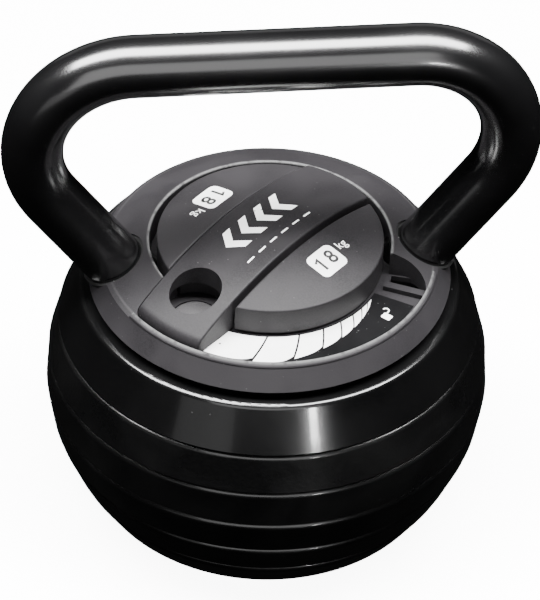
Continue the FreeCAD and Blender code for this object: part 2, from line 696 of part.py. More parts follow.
def make_cover():
    domed = dome("CoverDome", "0", COVER_RADIUS, COVER_SHOULDER, COVER_BOTTOM, COVER_APEX)
    lip_apex = "(%s + lip_height)" % COVER_APEX
    lip = dome("CoverLip", POCKET_RADIUS, COVER_SHOULDER, COVER_SHOULDER, COVER_FLOOR, lip_apex, POCKET_SWEEP)
    turned(lip, POCKET_MIDDLE)
    shell = fuse("CoverBlank", domed, lip)

    hollow = cylinder("CoverHollow", SKIRT_RADIUS, "%s - %s" % (FLOOR_UNDERSIDE, COVER_BOTTOM), COVER_BOTTOM)
    well = cylinder("CoverWell", WELL_RADIUS, THROUGH, COVER_FLOOR)
    pocket = make_pocket_space("Pocket", COVER_FLOOR)
    hub_hole = cylinder("CoverHubHole", HUB_RADIUS + " + hub_clearance", THROUGH, COVER_BOTTOM)
    button_bore = BUTTON_RADIUS + " + button_clearance"
    button_hole = cylinder("CoverButtonHole", button_bore, THROUGH, COVER_BOTTOM, BUTTON_X, BUTTON_Y)
    back_radius = COVER_SHOULDER + " - cover_wall"
    back_ring = dome(
        "CoverBackHollow",
        WELL_RADIUS + " + cover_wall",
        back_radius,
        back_radius,
        FLOOR_UNDERSIDE,
        "(%s - cover_wall)" % COVER_APEX,
        "360 - %s - 4 * cover_wall" % POCKET_SWEEP,
    )
    turned(back_ring, POCKET_MIDDLE + " + 180")
    columns = []
    for n, (x, y) in enumerate(cover_screw_spots(), start=1):
        columns.append(cylinder("CoverColumn%d" % n, "boss_radius", THROUGH, "0", x, y))
    back_space = cut("CoverBackSpace", back_ring, group("CoverColumns", columns))
    cuts = [hollow, well, pocket, hub_hole, button_hole, back_space]
    opened = cut("CoverOpened", shell, group("CoverCuts", cuts))
    rim_level = number("%s - dome_radius + sqrt(dome_radius^2 - %s^2)" % (COVER_APEX, WELL_RADIUS))
    lip_level = number("%s - dome_radius + sqrt(dome_radius^2 - %s^2)" % (lip_apex, COVER_SHOULDER))
    opened = fillet(
        "CoverRounded",
        opened,
        number("edge_round"),
        lambda edge: is_flat_arc(edge, rim_level) or is_flat_arc(edge, lip_level),
    )

    inner_height = "%s - %s" % (FLOOR_UNDERSIDE, STACK_TOP)
    skirt_outside = cylinder("SkirtOutside", SKIRT_RADIUS, inner_height, STACK_TOP)
    skirt = cut("CoverSkirt", skirt_outside, cylinder("SkirtInside", SKIRT_RADIUS + " - cover_wall", THROUGH))
    pads = []
    for n, (x, y) in enumerate(cover_screw_spots(), start=1):
        pads.append(cylinder("CoverBoss%d" % n, "boss_radius", inner_height + " + " + PAST, STACK_TOP, x, y))
    ridge = box(
        "CoverRidge",
        WELL_RADIUS,
        "-ridge_width / 2",
        "%s - %s" % (COVER_FLOOR, PAST),
        "%s - %s + %s" % (POCKET_RADIUS, WELL_RADIUS, PAST),
        "ridge_width",
        "%s + ridge_height" % PAST,
    )
    turned_ridge = turned(group("CoverRidgeTurned", [ridge]), "lever_turn + lever_travel + ridge_after")
    built = fuse("CoverBuilt", opened, skirt, turned_ridge, *pads)

    pit_start = "lever_turn + lever_travel + pit_after"
    pit_outer = POCKET_RADIUS + " - pit_outer_margin"
    pit_ring = cut(
        "CoverPitRing",
        cylinder("PitOutside", pit_outer, THROUGH, COVER_BOTTOM, "0", "0", "pit_sweep", pit_start),
        cylinder("PitInside", WELL_RADIUS + " + pit_inner_margin", THROUGH),
    )
    pit = common("CoverPit", pit_ring, make_pocket_space("PitRoom", COVER_BOTTOM))
    below = "(%s - tube_radius)" % STACK_TOP
    legs = [leg_tool("CoverLegHole%d" % n, LEG_HOLE, side, below) for n, side in ((1, 1), (2, -1))]
    leg_holes = turned(group("CoverLegHoles", legs), "handle_turn")
    screws = group("CoverScrewHoles", cover_screw_shapes("CoverHole"))
    trimmed = cut("CoverTrimmed", built, group("CoverHoles", [leg_holes, pit]))
    keep(cut("Cover", trimmed, screws), "cover")


def make_collars():
    """Rubber sleeves that close the gap between each handle leg and the cover."""
    sleeves = []
    for n, side in ((1, 1), (2, -1)):
        outside = leg_tool("CollarOutside%d" % n, LEG_HOLE + " - collar_clearance", side, STACK_TOP)
        inside = leg_tool("CollarInside%d" % n, "tube_radius + collar_clearance", side, STACK_TOP)
        sleeves.append(cut("Collar%d" % n, outside, inside))
    both = turned(group("CollarSleeves", sleeves), "handle_turn")
    apex = "(%s - collar_drop)" % COVER_APEX
    limit_radius = COVER_RADIUS + " + cover_flank"
    limit = dome("CollarLimit", "0", limit_radius, limit_radius, STACK_TOP, apex)
    topped = common("CollarsTopped", both, limit)
    well = cylinder("CollarWell", WELL_RADIUS, THROUGH, COVER_FLOOR)
    keep(cut("Collars", topped, well), "leg_collars")


def make_label():
    start = "lever_turn + label_before"
    sweep = "lever_travel + label_after"
    radius = POCKET_RADIUS + " - label_margin"
    outer = cylinder("LabelOuter", radius, "label_thickness", COVER_FLOOR, "0", "0", sweep, start)
    inner = cylinder("LabelInner", "knob_radius + label_inset", THROUGH)
    keep(cut("Label", outer, inner), "indicator_label")


def make_button():
    flange_bottom = "(%s - button_flange_height - button_flange_gap)" % FLOOR_UNDERSIDE
    flange_size = (BUTTON_RADIUS + " + button_flange_width", "button_flange_height")
    stem_height = "%s + button_proud - %s" % (COVER_FLOOR, flange_bottom)
    stem = cylinder("ButtonStem", BUTTON_RADIUS, stem_height, flange_bottom, BUTTON_X, BUTTON_Y)
    flange = cylinder("ButtonFlange", *flange_size, flange_bottom, BUTTON_X, BUTTON_Y)
    body = fuse("ButtonBody", stem, flange)
    top = number("%s + button_proud" % COVER_FLOOR)
    rounded = fillet("Button", body, number("button_round"), lambda edge: is_flat_arc(edge, top))
    keep(rounded, "release_button")
    coil_height = "(%s - %s - 2 * spring_wire)" % (flange_bottom, STACK_TOP)
    turns = []
    for n in range(SPRING_TURNS):
        coil = doc.addObject("Part::Torus", "SpringTurn%d" % n)
        bind(coil, Radius1="spring_radius", Radius2="spring_wire")
        level = "%s + spring_wire + %d * %s / %d" % (STACK_TOP, n, coil_height, SPRING_TURNS - 1)
        place(coil, BUTTON_X, BUTTON_Y, level)
        turns.append(coil)
    keep(group("Spring", turns), "button_spring")


SPRING_TURNS = 3


def square_bar(name, low, height):
    """A square of the shaft's own size, from a low level."""
    corner = "-%s / 2" % SHAFT_SQUARE
    return box(name, corner, corner, low, SHAFT_SQUARE, SHAFT_SQUARE, height)


def ring_of(name, outer, inner, height, level):
    """A plain flat ring."""
    inside = cylinder(name + "Inside", inner, THROUGH)
    return cut(name, cylinder(name + "Outside", outer, height, level), inside)


def make_shaft():
    square = square_bar("ShaftSquareBar", LOBE_RISE, "%s - %s" % (SQUARE_TOP, LOBE_RISE))
    upper = cylinder("ShaftRound", "shaft_radius", "%s - %s" % (SHAFT_TOP, SQUARE_TOP), SQUARE_TOP)
    pilot_start = "(pilot_bottom + pilot_end_gap)"
    pilot = cylinder("ShaftPilot", PILOT_RADIUS, "%s - %s" % (LOBE_RISE, pilot_start), pilot_start)
    bar = fuse("ShaftBar", square, upper, pilot)
    thread = cylinder("ShaftThread", "knob_screw_radius", "thread_depth", SHAFT_TOP + " - thread_depth")
    neck = "shaft_radius - clip_groove"
    groove = ring_of("ShaftGroove", "shaft_radius + " + PAST, neck, "clip_height", CLIP_BOTTOM)
    threaded = cut("ShaftThreaded", bar, thread)
    keep(turned(cut("Shaft", threaded, groove), "lever_turn"), "selector_shaft")
    keep(ring_of("Clip", "shaft_radius + clip_reach", neck, "clip_height", CLIP_BOTTOM), "retaining_ring")
    washer_radius = "shaft_radius + washer_reach"
    keep(ring_of("Washer", washer_radius, "shaft_radius", "washer_height", WASHER_BOTTOM), "thrust_washer")

    lobes, spacers = [], []
    spacer_inner = "(%s * sqrt(0.5) + spacer_clearance)" % SHAFT_SQUARE
    levels = ["0"] + [ring_level(n) for n in range(RINGS, 0, -1)]
    lows = ["(%s + %s)" % (level, LOBE_RISE) for level in levels] + [CLIP_BOTTOM]
    for n, (low, following) in enumerate(zip(lows, lows[1:]), start=1):
        corner = ("-" + LOBE_REACH, "-%s / 2" % LOBE_WIDTH, low)
        blank = box("Lobe%dBlank" % n, *corner, "2 * " + LOBE_REACH, LOBE_WIDTH, "lobe_height")
        hole = square_bar("Lobe%dHole" % n, "%s - %s" % (low, PAST), "lobe_height + 2 * " + PAST)
        lobes.append(cut("Lobe%d" % n, blank, hole))
        top = "(%s + lobe_height)" % low
        outside = spacer_inner + " + spacer_wall"
        spacers.append(ring_of("Spacer%d" % n, outside, spacer_inner, "%s - %s" % (following, top), top))
    keep(turned(group("Lobes", lobes), "lever_turn"), "lock_lobes")
    keep(group("Spacers", spacers), "lobe_spacers")


def make_detent():
    """A notched cam on the shaft, and the leaf spring whose nub drops into its notches."""
    disc = ring_of("CamDisc", CAM_RADIUS, "shaft_radius", "cam_height", CAM_BOTTOM)
    notches = []
    for n, angle in enumerate(("90", "90 - lever_travel"), start=1):
        x = "%s * cos(%s)" % (CAM_RADIUS, angle)
        y = "%s * sin(%s)" % (CAM_RADIUS, angle)
        notches.append(cylinder("CamNotch%d" % n, "notch_radius", THROUGH, "0", x, y))
    keep(turned(cut("Cam", disc, group("CamNotches", notches)), "lever_turn"), "detent_cam")

    leaf_y = "(%s + leaf_gap)" % CAM_RADIUS
    leaf = box("Leaf", "-leaf_half", leaf_y, CAM_BOTTOM, "2 * leaf_half", "leaf_thickness", "cam_height")
    nub = cylinder("LeafNub", "notch_radius - nub_clearance", "cam_height", CAM_BOTTOM, "0", leaf_y)
    keep(turned(fuse("LeafSpring", leaf, nub), "lever_turn"), "detent_spring")
    posts = []
    for n, side in enumerate((-1, 1), start=1):
        height = "%s - post_gap - %s" % (FLOOR_UNDERSIDE, STACK_TOP)
        x = "%d * (leaf_half - post_radius)" % side
        y = "%s + leaf_thickness + post_radius" % leaf_y
        posts.append(cylinder("Post%d" % n, "post_radius", height, STACK_TOP, x, y))
    keep(turned(group("Posts", posts), "lever_turn"), "spring_posts")


def cap_screw_spots():
    """Two screws in each cap and two in the lever bar, as (x, y) along and across the bar."""
    x = "(knob_radius - cap_screw_inset)"
    y = "(%s + cap_groove + cap_screw_aside)" % LEVER_HALF_WIDTH
    spots = [("%d * %s" % (i, x), "%d * %s" % (j, y)) for j in (-1, 1) for i in (-1, 1)]
    front = "%s - %s - bar_screw_gap" % (FINGER_HOLE_AT, CAVITY_RADIUS)
    return spots + [("bar_screw_inset - knob_radius", "0"), (front, "0")]


def cap_screw_shapes(name):
    screws = []
    for n, (x, y) in enumerate(cap_screw_spots(), start=1):
        head_name, shank_name = "%sHead%d" % (name, n), "%sShank%d" % (name, n)
        head = cylinder(head_name, "cap_screw_head", "cap_screw_head_height", KNOB_BOTTOM, x, y)
        shank = cylinder(shank_name, "cap_screw_radius", "cap_screw_length", KNOB_BOTTOM, x, y)
        screws.append(fuse("%s%d" % (name, n), head, shank))
    return screws


def make_knob():
    finger = cylinder("KnobFingerClear", CAVITY_RADIUS, THROUGH, "0", FINGER_HOLE_AT)
    plate_radius = "knob_radius - cap_wall - plate_margin"
    plate = cylinder("KnobPlate", plate_radius, "plate_height", KNOB_BOTTOM)
    hub = cylinder("KnobHub", HUB_RADIUS, "%s - %s" % (KNOB_BOTTOM, CAM_TOP), CAM_TOP)
    solid = fuse("KnobSolid", plate, hub)
    socket = cylinder("KnobSocket", "shaft_radius", "%s - %s" % (SHAFT_TOP, CAM_TOP), CAM_TOP)
    screw_hole = cylinder("KnobScrewHole", "knob_screw_radius", THROUGH, CAM_TOP)
    head_seat = "(%s - knob_screw_head_height)" % PLATE_TOP
    counterbore = cylinder("KnobCounterbore", "knob_screw_head", "knob_screw_head_height", head_seat)
    holes = cap_screw_shapes("KnobHole")
    cuts = group("KnobCuts", [finger, socket, screw_hole, counterbore] + holes)
    keep(turned(cut("Knob", solid, cuts), "lever_turn"), "knob_body")

    head = cylinder("KnobScrewHead", "knob_screw_head", "knob_screw_head_height", head_seat)
    shank_start = "(%s - thread_depth + screw_end_gap)" % SHAFT_TOP
    shank = cylinder("KnobScrewShank", "knob_screw_radius", "%s - %s" % (head_seat, shank_start), shank_start)
    keep(fuse("KnobScrew", head, shank), "shaft_screw")
    keep(turned(group("CapScrews", cap_screw_shapes("CapScrew")), "lever_turn"), "cap_screws")


def make_lever():
    top = dome("LeverTop", "0", "knob_radius", "knob_radius", PLATE_TOP, KNOB_APEX)
    inner = "(knob_radius - lever_overlap)"
    reach = dome("LeverReach", inner, LEVER_REACH, LEVER_REACH, LEVER_BOTTOM, KNOB_APEX, "180")
    blank = fuse("LeverBlank", top, reach)
    half_length, length, width = "-" + THROUGH, "2 * " + THROUGH, "2 * " + LEVER_HALF_WIDTH
    strip = box("LeverStrip", half_length, "-" + LEVER_HALF_WIDTH, "0", length, width, THROUGH)
    bar = common("LeverBar", blank, strip)
    end = number(LEVER_REACH)
    tip_height = number("%s - dome_radius + sqrt(dome_radius^2 - %s^2)" % (KNOB_APEX, LEVER_REACH))
    tip_wall = tip_height - number(LEVER_BOTTOM)
    nose_round = min(number("nose_round"), tip_wall - ROUND_MARGIN)
    nose = fillet(
        "LeverNose",
        bar,
        nose_round,
        lambda edge: edge.BoundBox.XMax > end - ROUND_MARGIN
        and edge.BoundBox.ZLength < tip_wall / 2
        and edge.BoundBox.ZMin > tip_height - tip_wall / 2,
    )
    low = number(PLATE_TOP) + ROUND_MARGIN
    nose = fillet(
        "LeverEdges",
        nose,
        number("edge_round"),
        lambda edge: edge.BoundBox.ZMin > low
        and edge.BoundBox.XMin < end - number("nose_round")
        and edge.Length > number("edge_round")
        and not is_upright(edge),
    )
    hole = cylinder("LeverFingerHole", "finger_hole_radius", THROUGH, COVER_FLOOR, FINGER_HOLE_AT)
    cavity = cylinder("LeverCavity", CAVITY_RADIUS, "cavity_height", COVER_FLOOR, FINGER_HOLE_AT)
    holes = cap_screw_shapes("LeverHole")
    cuts = group("LeverCuts", [hole, cavity] + holes[-2:])
    keep(turned(cut("Lever", nose, cuts), "lever_turn"), "lever_bar")


ROUND_MARGIN = 0.15


def make_cap(name, label, side):
    """One D-shaped cap beside the lever bar; side is 1 or -1 along local Y."""
    outer = dome(name + "Outer", "0", "knob_radius", "knob_radius", KNOB_BOTTOM, COVER_APEX)
    inside_radius = "knob_radius - cap_wall"
    inner_apex = "(%s - cap_wall)" % COVER_APEX
    inner = dome(name + "Inner", "0", inside_radius, inside_radius, KNOB_BOTTOM, inner_apex)
    straight = "(%s + cap_groove)" % LEVER_HALF_WIDTH
    walls = []
    for part, edge in (("Half", straight), ("InnerHalf", "(%s + cap_wall)" % straight)):
        y = edge if side > 0 else "-%s - %s" % (edge, THROUGH)
        walls.append(box(name + part, "-" + THROUGH, y, "0", "2 * " + THROUGH, THROUGH, THROUGH))
    solid = common(name + "Outside", outer, walls[0])
    low = number(PLATE_TOP) + ROUND_MARGIN
    rounded = fillet(
        name + "Rounded",
        solid,
        number("edge_round"),
        lambda edge: edge.BoundBox.ZMin > low and not is_upright(edge),
    )
    x, y = "(knob_radius - cap_screw_inset)", "%d * (%s + cap_screw_aside)" % (side, straight)
    posts = [
        cylinder("%sPost%d" % (name, n), "cap_boss_radius", THROUGH, "0", "%d * %s" % (end, x), y)
        for n, end in enumerate((-1, 1), start=1)
    ]
    space = cut(name + "Space", common(name + "Inside", inner, walls[1]), group(name + "Posts", posts))
    seat = cylinder(name + "Seat", inside_radius, "%s - %s" % (PLATE_TOP, COVER_FLOOR), COVER_FLOOR)
    shell = cut(name + "Shell", rounded, group(name + "Hollows", [space, seat]))
    holes = cap_screw_shapes(name + "Hole")
    keep(turned(cut(name, shell, group(name + "Holes", holes)), "lever_turn"), label)


def write_parts():
    doc.recompute()
    faulty = [item.Name for item in doc.Objects if {"Invalid", "Error"} & set(item.State)]
    if faulty:
        raise RuntimeError("objects that failed: " + ", ".join(faulty))
    for item in SUBPARTS:
        if item.Shape.isNull() or not item.Shape.isValid() or not item.Shape.Solids:
            raise RuntimeError("sub-part without a sound shape: " + item.Label)
    os.makedirs("parts", exist_ok=True)
    for item in SUBPARTS:
        item.Shape.exportStep(os.path.join("parts", item.Label + ".step"))
    print("%d sub-parts written" % len(SUBPARTS))


for ring in range(1, RINGS + 1):
    make_ring(ring)
make_base()
make_core()
make_carrier()
make_handle()
make_cover()
keep(group("CoverScrews", cover_screw_shapes("CoverScrew")), "cover_screws")
make_collars()
make_label()
make_button()
make_shaft()
make_detent()
make_knob()
make_lever()
make_cap("FrontCap", "front_cap", 1)
make_cap("RearCap", "rear_cap", -1)
write_parts()
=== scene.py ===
# %% [markdown]
# # An adjustable kettlebell
# The bell is a stack of black cast-iron rings under a dark grey moulded head, with a handle bent from one
# steel tube. A bar across the head is the lock lever, and a printed scale under its nose shows how far it
# has turned. The shapes come ready made from the CAD frame, so this lesson is about what a maker adds last:
# the finishes of enamel, powder coat and moulded plastic, and the white prints.
# The frame is loaded first, because every place below is read from it.

# %% Load the fixed frame
import math

import bmesh
import bpy
from mathutils import Matrix, Vector
from mathutils.bvhtree import BVHTree


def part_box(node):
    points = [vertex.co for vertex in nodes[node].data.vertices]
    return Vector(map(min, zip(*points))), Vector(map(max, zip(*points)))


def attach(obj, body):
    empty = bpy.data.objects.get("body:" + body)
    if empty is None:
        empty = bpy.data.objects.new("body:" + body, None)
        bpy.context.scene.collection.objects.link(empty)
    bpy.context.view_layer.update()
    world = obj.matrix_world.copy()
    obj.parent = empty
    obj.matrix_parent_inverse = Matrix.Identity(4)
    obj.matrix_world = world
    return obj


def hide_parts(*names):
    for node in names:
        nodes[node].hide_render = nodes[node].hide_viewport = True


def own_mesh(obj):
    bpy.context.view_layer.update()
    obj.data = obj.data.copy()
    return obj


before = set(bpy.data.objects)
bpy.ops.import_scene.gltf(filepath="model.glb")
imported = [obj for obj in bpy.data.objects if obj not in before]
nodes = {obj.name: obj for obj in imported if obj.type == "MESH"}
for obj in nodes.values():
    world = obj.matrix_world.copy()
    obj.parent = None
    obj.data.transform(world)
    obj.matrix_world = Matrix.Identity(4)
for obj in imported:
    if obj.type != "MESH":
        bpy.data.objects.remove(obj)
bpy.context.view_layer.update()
MM = 0.001

# %% [markdown]
# ## Places read from the frame
# The head is round about the upright axis, so most places are a distance from that axis and a level.
# Small helpers measure them, on a node's own points or on its box. The lever's direction is the direction of
# the release button, which lies under the lever's finger hole.

# %% Measure the head


def points_of(node):
    """Each point of a node, as its distance from the upright axis and its level."""
    return [(math.hypot(v.co.x, v.co.y), v.co.z) for v in nodes[node].data.vertices]


def reach(node):
    """Nearest and farthest distance of a node from the upright axis."""
    spans = [span for span, level in points_of(node)]
    return min(spans), max(spans)


def top_of(node):
    """Level of a node's highest point."""
    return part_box(node)[1].z


def middle(node):
    """Centre of a node's box."""
    low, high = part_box(node)
    return (low + high) / 2


button = middle("release_button")
LEVER_TURN = math.atan2(button.y, button.x)
LEVER = Matrix.Rotation(LEVER_TURN, 4, "Z")
LABEL_INNER, LABEL_OUTER = reach("indicator_label")
COVER_TOP = top_of("cover")
print("lever turned to %.1f degrees" % math.degrees(LEVER_TURN))
print("label from %.1f to %.1f mm" % (LABEL_INNER / MM, LABEL_OUTER / MM))

# %% [markdown]
# ## Camera
# The bell stands below eye level and is seen with a long lens, which keeps the rings almost parallel.
# The camera is placed by an aim point beside the axis, an angle above the floor, a distance and a slight
# roll, as on a tripod. The matrix is built from the three camera axes, so the roll is simply a turn of the
# first two.

# %% Place the camera
AIM = Vector((0.0007, 0.0, 0.0970))
CAMERA_ELEVATION = math.radians(41.7)
CAMERA_DISTANCE = 1.448
CAMERA_ROLL = math.radians(1.76)
LENS = 194.2
FULL_FRAME = 36.0

camera_data = bpy.data.cameras.new("camera")
camera_data.lens = LENS
camera_data.sensor_width = FULL_FRAME
camera = bpy.data.objects.new("camera", camera_data)
bpy.context.scene.collection.objects.link(camera)
back = Vector((0.0, -math.cos(CAMERA_ELEVATION), math.sin(CAMERA_ELEVATION)))
level_up = Vector((0.0, math.sin(CAMERA_ELEVATION), math.cos(CAMERA_ELEVATION)))
level_right = Vector((1.0, 0.0, 0.0))
right = level_right * math.cos(CAMERA_ROLL) + level_up * math.sin(CAMERA_ROLL)
up = level_up * math.cos(CAMERA_ROLL) - level_right * math.sin(CAMERA_ROLL)
turn = Matrix((right, up, back)).transposed().to_4x4()
camera.matrix_world = Matrix.Translation(AIM + back * CAMERA_DISTANCE) @ turn
bpy.context.scene.camera = camera
print("camera at", [round(v, 3) for v in camera.matrix_world.translation])

# %% [markdown]
# ## Floor
# A black bell on a white floor is hard to light: lamps strong enough for the floor would wash out the gloss.
# So the floor has a glow of its own. It neither shows in the bell's gloss nor throws light on the bell.

# %% Lay the floor
FLOOR_HALF = 4.0
FLOOR_GLOW = 9.0
floor_mesh = bpy.data.meshes.new("floor")
floor_corners = [(-1, -1, 0), (1, -1, 0), (1, 1, 0), (-1, 1, 0)]
floor_mesh.from_pydata([Vector(c) * FLOOR_HALF for c in floor_corners], [], [(0, 1, 2, 3)])
floor = bpy.data.objects.new("floor", floor_mesh)
bpy.context.scene.collection.objects.link(floor)
floor.visible_glossy = False
floor.visible_diffuse = False
floor_paint = bpy.data.materials.new("floor_paint")
floor_paint.use_nodes = True
floor_shader = floor_paint.node_tree.nodes["Principled BSDF"]
floor_shader.inputs["Base Color"].default_value = (0.9, 0.9, 0.9, 1)
floor_shader.inputs["Emission Color"].default_value = (1.0, 1.0, 1.0, 1)
floor_shader.inputs["Emission Strength"].default_value = FLOOR_GLOW
floor_shader.inputs["Roughness"].default_value = 0.9
floor_mesh.materials.append(floor_paint)
print("floor laid, %.0f m wide" % (2 * FLOOR_HALF))

# %% [markdown]
# ## Light
# Black gloss shows little colour of its own. What the eye reads is the shape of the lights reflected in it,
# so the lights are laid out by the reflections they have to make. A wide soft box overhead draws the white
# streak along the handle bar and the thin lines on the ring edges. A dim front panel draws the second, grey
# streak. A panel at the front left and a small lamp at the front right light the side of the top ring, and a
# dim panel behind keeps the back from going quite black.
# Each light has a name, an azimuth and an elevation in degrees, a distance, a width and a height in metres,
# and a brightness.

# %% Hang the lights
HEAD = Vector((0.0, 0.0, COVER_TOP))


def soft_box(name, azimuth, elevation, distance, width, height, radiance):
    """A rectangular light that faces the head; azimuth 0 is the camera's side, elevation above the floor."""
    turn_to, rise = math.radians(azimuth), math.radians(elevation)
    away = Vector((math.sin(turn_to) * math.cos(rise), -math.cos(turn_to) * math.cos(rise), math.sin(rise)))
    data = bpy.data.lights.new(name, "AREA")
    data.shape = "RECTANGLE"
    data.size = width
    data.size_y = height
    data.energy = radiance * math.pi * width * height
    light = bpy.data.objects.new(name, data)
    light.location = HEAD + away * distance
    light.rotation_euler = away.to_track_quat("Z", "Y").to_euler()
    bpy.context.scene.collection.objects.link(light)


LIGHTS = [
    ("overhead_box", 0, 90, 1.25, 2.3, 0.56, 46.0),
    ("front_panel", 0, 29, 2.2, 2.2, 1.35, 2.1),
    ("left_panel", -29, 6, 1.6, 0.8, 0.4, 0.6),
    ("right_lamp", 24.0, 6.1, 1.6, 0.10, 0.07, 150.0),
    ("back_panel", 180, 10, 2.4, 3.2, 0.9, 0.25),
]
ROOM_DARK = (0.006, 0.006, 0.006, 1)
for settings in LIGHTS:
    soft_box(*settings)
world = bpy.data.worlds.new("studio")
world.use_nodes = True
world.node_tree.nodes["Background"].inputs["Color"].default_value = ROOM_DARK
bpy.context.scene.world = world
print(len(LIGHTS), "lights hung")

# %% [markdown]
# ## Small tools for node trees
# Materials and Geometry Nodes are both trees of nodes. Three helpers keep the cells below short: one puts a
# node in a tree and fills or links its inputs, one does the same for a single sum, and one starts a group
# with named inputs and outputs.

# %% Helpers for node trees


def put(tree, kind, inputs=None, **settings):
    """Add a node, set its settings, and fill or link its inputs by name or number."""
    made = tree.nodes.new(kind)
    for name, value in settings.items():
        setattr(made, name, value)
    for key, value in (inputs or {}).items():
        if isinstance(value, bpy.types.NodeSocket):
            tree.links.new(value, made.inputs[key])
        else:
            made.inputs[key].default_value = value
    return made


def total(tree, operation, *values, clamp=False):
    """One Math node, and its result."""
    inputs = dict(enumerate(values))
    return put(tree, "ShaderNodeMath", inputs, operation=operation, use_clamp=clamp).outputs[0]


def new_group(name, kind, inputs, outputs):
    """An empty node group with named inputs and outputs; an input is (name, kind of socket, value)."""
    tree = bpy.data.node_groups.new(name, kind)
    for socket_name, socket_kind, value in inputs:
        socket = tree.interface.new_socket(socket_name, in_out="INPUT", socket_type=socket_kind)
        if value is not None:
            socket.default_value = value
    for socket_name, socket_kind in outputs:
        tree.interface.new_socket(socket_name, in_out="OUTPUT", socket_type=socket_kind)
    return tree, tree.nodes.new("NodeGroupInput").outputs, tree.nodes.new("NodeGroupOutput").inputs


FLOAT, VECTOR = "NodeSocketFloat", "NodeSocketVector"
print("helpers ready")

# %% [markdown]
# ## Effects that several finishes share
# Three effects come back in the finishes, so each is a node group that is built once and placed with its own
# values. Grain is the fine spark-eroded texture of a mould, or the peel of sprayed paint: a fine and a coarse
# noise, mixed.

# %% Build the grain group
grain_group, given, result = new_group(
    "surface_grain",
    "ShaderNodeTree",
    [("Vector", VECTOR, None), ("Fine", FLOAT, 1500.0), ("Coarse", FLOAT, 300.0), ("Share", FLOAT, 0.5)],
    [("Height", FLOAT), ("Fine Height", FLOAT)],
)
fine = put(
    grain_group,
    "ShaderNodeTexNoise",
    {"Vector": given["Vector"], "Scale": given["Fine"], "Detail": 2.0, "Roughness": 0.6},
)
coarse = put(
    grain_group,
    "ShaderNodeTexNoise",
    {"Vector": given["Vector"], "Scale": given["Coarse"], "Detail": 1.0},
)
blend = put(
    grain_group,
    "ShaderNodeMix",
    {0: given["Share"], 2: fine.outputs["Fac"], 3: coarse.outputs["Fac"]},
    data_type="FLOAT",
)
grain_group.links.new(blend.outputs[0], result["Height"])
grain_group.links.new(fine.outputs["Fac"], result["Fine Height"])
print("grain group:", len(grain_group.nodes), "nodes")

# %% [markdown]
# ## Patches and specks
# Patches are the slow changes that handling leaves, a cloudy noise. Specks are dust: of the cells of a
# Voronoi texture a few are chosen by their random colour, and only the middle of each is kept.

# %% Build the patches group
patch_group, given, result = new_group(
    "handling_patches",
    "ShaderNodeTree",
    [
        ("Vector", VECTOR, None),
        ("Size", FLOAT, 40.0),
        ("Speck Size", FLOAT, 900.0),
        ("Speck Share", FLOAT, 0.1),
    ],
    [("Patches", FLOAT), ("Specks", FLOAT)],
)
CLOUD_EDGES = (0.35, 0.68)
SPECK_REACH = 0.28
cloud = put(
    patch_group,
    "ShaderNodeTexNoise",
    {"Vector": given["Vector"], "Scale": given["Size"], "Detail": 4.0, "Distortion": 0.6},
)
cloud_edges = {0: cloud.outputs["Fac"], 1: CLOUD_EDGES[0], 2: CLOUD_EDGES[1]}
softened = put(patch_group, "ShaderNodeMapRange", cloud_edges, clamp=True)
cells = put(
    patch_group,
    "ShaderNodeTexVoronoi",
    {"Vector": given["Vector"], "Scale": given["Speck Size"], "Randomness": 1.0},
)
chosen = put(patch_group, "ShaderNodeSeparateColor", {0: cells.outputs["Color"]})
few = total(patch_group, "LESS_THAN", chosen.outputs[0], given["Speck Share"])
near = total(patch_group, "LESS_THAN", cells.outputs["Distance"], SPECK_REACH)
patch_group.links.new(softened.outputs[0], result["Patches"])
patch_group.links.new(total(patch_group, "MULTIPLY", few, near), result["Specks"])
print("patches group:", len(patch_group.nodes), "nodes")

# %% [markdown]
# ## Wear and painted highlight along a round rim
# A rim mask needs only a rim's radius and level, because every rim here is round about the same axis. On the
# rings it marks partly real wear and partly a painted highlight, and on the cover it marks a painted
# highlight.
# The distance of a point from that circle gives the mask, and a noise breaks it up.

# %% Build the rim wear and painted highlight group
# This mask carries a lighter rim colour: real wear in part, and a painted highlight in part.
rim_group, given, result = new_group(
    "rim_wear_and_highlight",
    "ShaderNodeTree",
    [("Vector", VECTOR, None), ("Radius", FLOAT, 0.05), ("Level", FLOAT, 0.1), ("Width", FLOAT, 0.001)],
    [("Mask", FLOAT)],
)
parts = put(rim_group, "ShaderNodeSeparateXYZ", {0: given["Vector"]}).outputs


def length_of(tree, first, second):
    """Length of the long side of a right triangle, from its two short sides."""
    squares = [total(tree, "MULTIPLY", side, side) for side in (first, second)]
    return total(tree, "SQRT", total(tree, "ADD", *squares))


aside = total(rim_group, "SUBTRACT", length_of(rim_group, parts[0], parts[1]), given["Radius"])
above = total(rim_group, "SUBTRACT", parts[2], given["Level"])
apart = length_of(rim_group, aside, above)
closeness = total(rim_group, "SUBTRACT", 1.0, total(rim_group, "DIVIDE", apart, given["Width"]), clamp=True)
RIM_BREAKUP_SCALE = 260.0
RIM_BREAKUP_EDGES = (0.28, 0.5)
rim_breakup = put(rim_group, "ShaderNodeTexNoise", {"Vector": given["Vector"], "Scale": RIM_BREAKUP_SCALE, "Detail": 3.0})
rim_breakup_edges = {0: rim_breakup.outputs["Fac"], 1: RIM_BREAKUP_EDGES[0], 2: RIM_BREAKUP_EDGES[1]}
broken = put(rim_group, "ShaderNodeMapRange", rim_breakup_edges, clamp=True)
rim_group.links.new(total(rim_group, "MULTIPLY", closeness, broken.outputs[0]), result["Mask"])
print("rim wear group:", len(rim_group.nodes), "nodes")

# %% [markdown]
# ## Mixing two colours
# Every effect above ends in a mask, and a mask is used in one way: it mixes a second colour into the first.
# Either colour may be plain numbers or what an earlier mix put out, so mixes can be chained.

# %% Mix by a mask


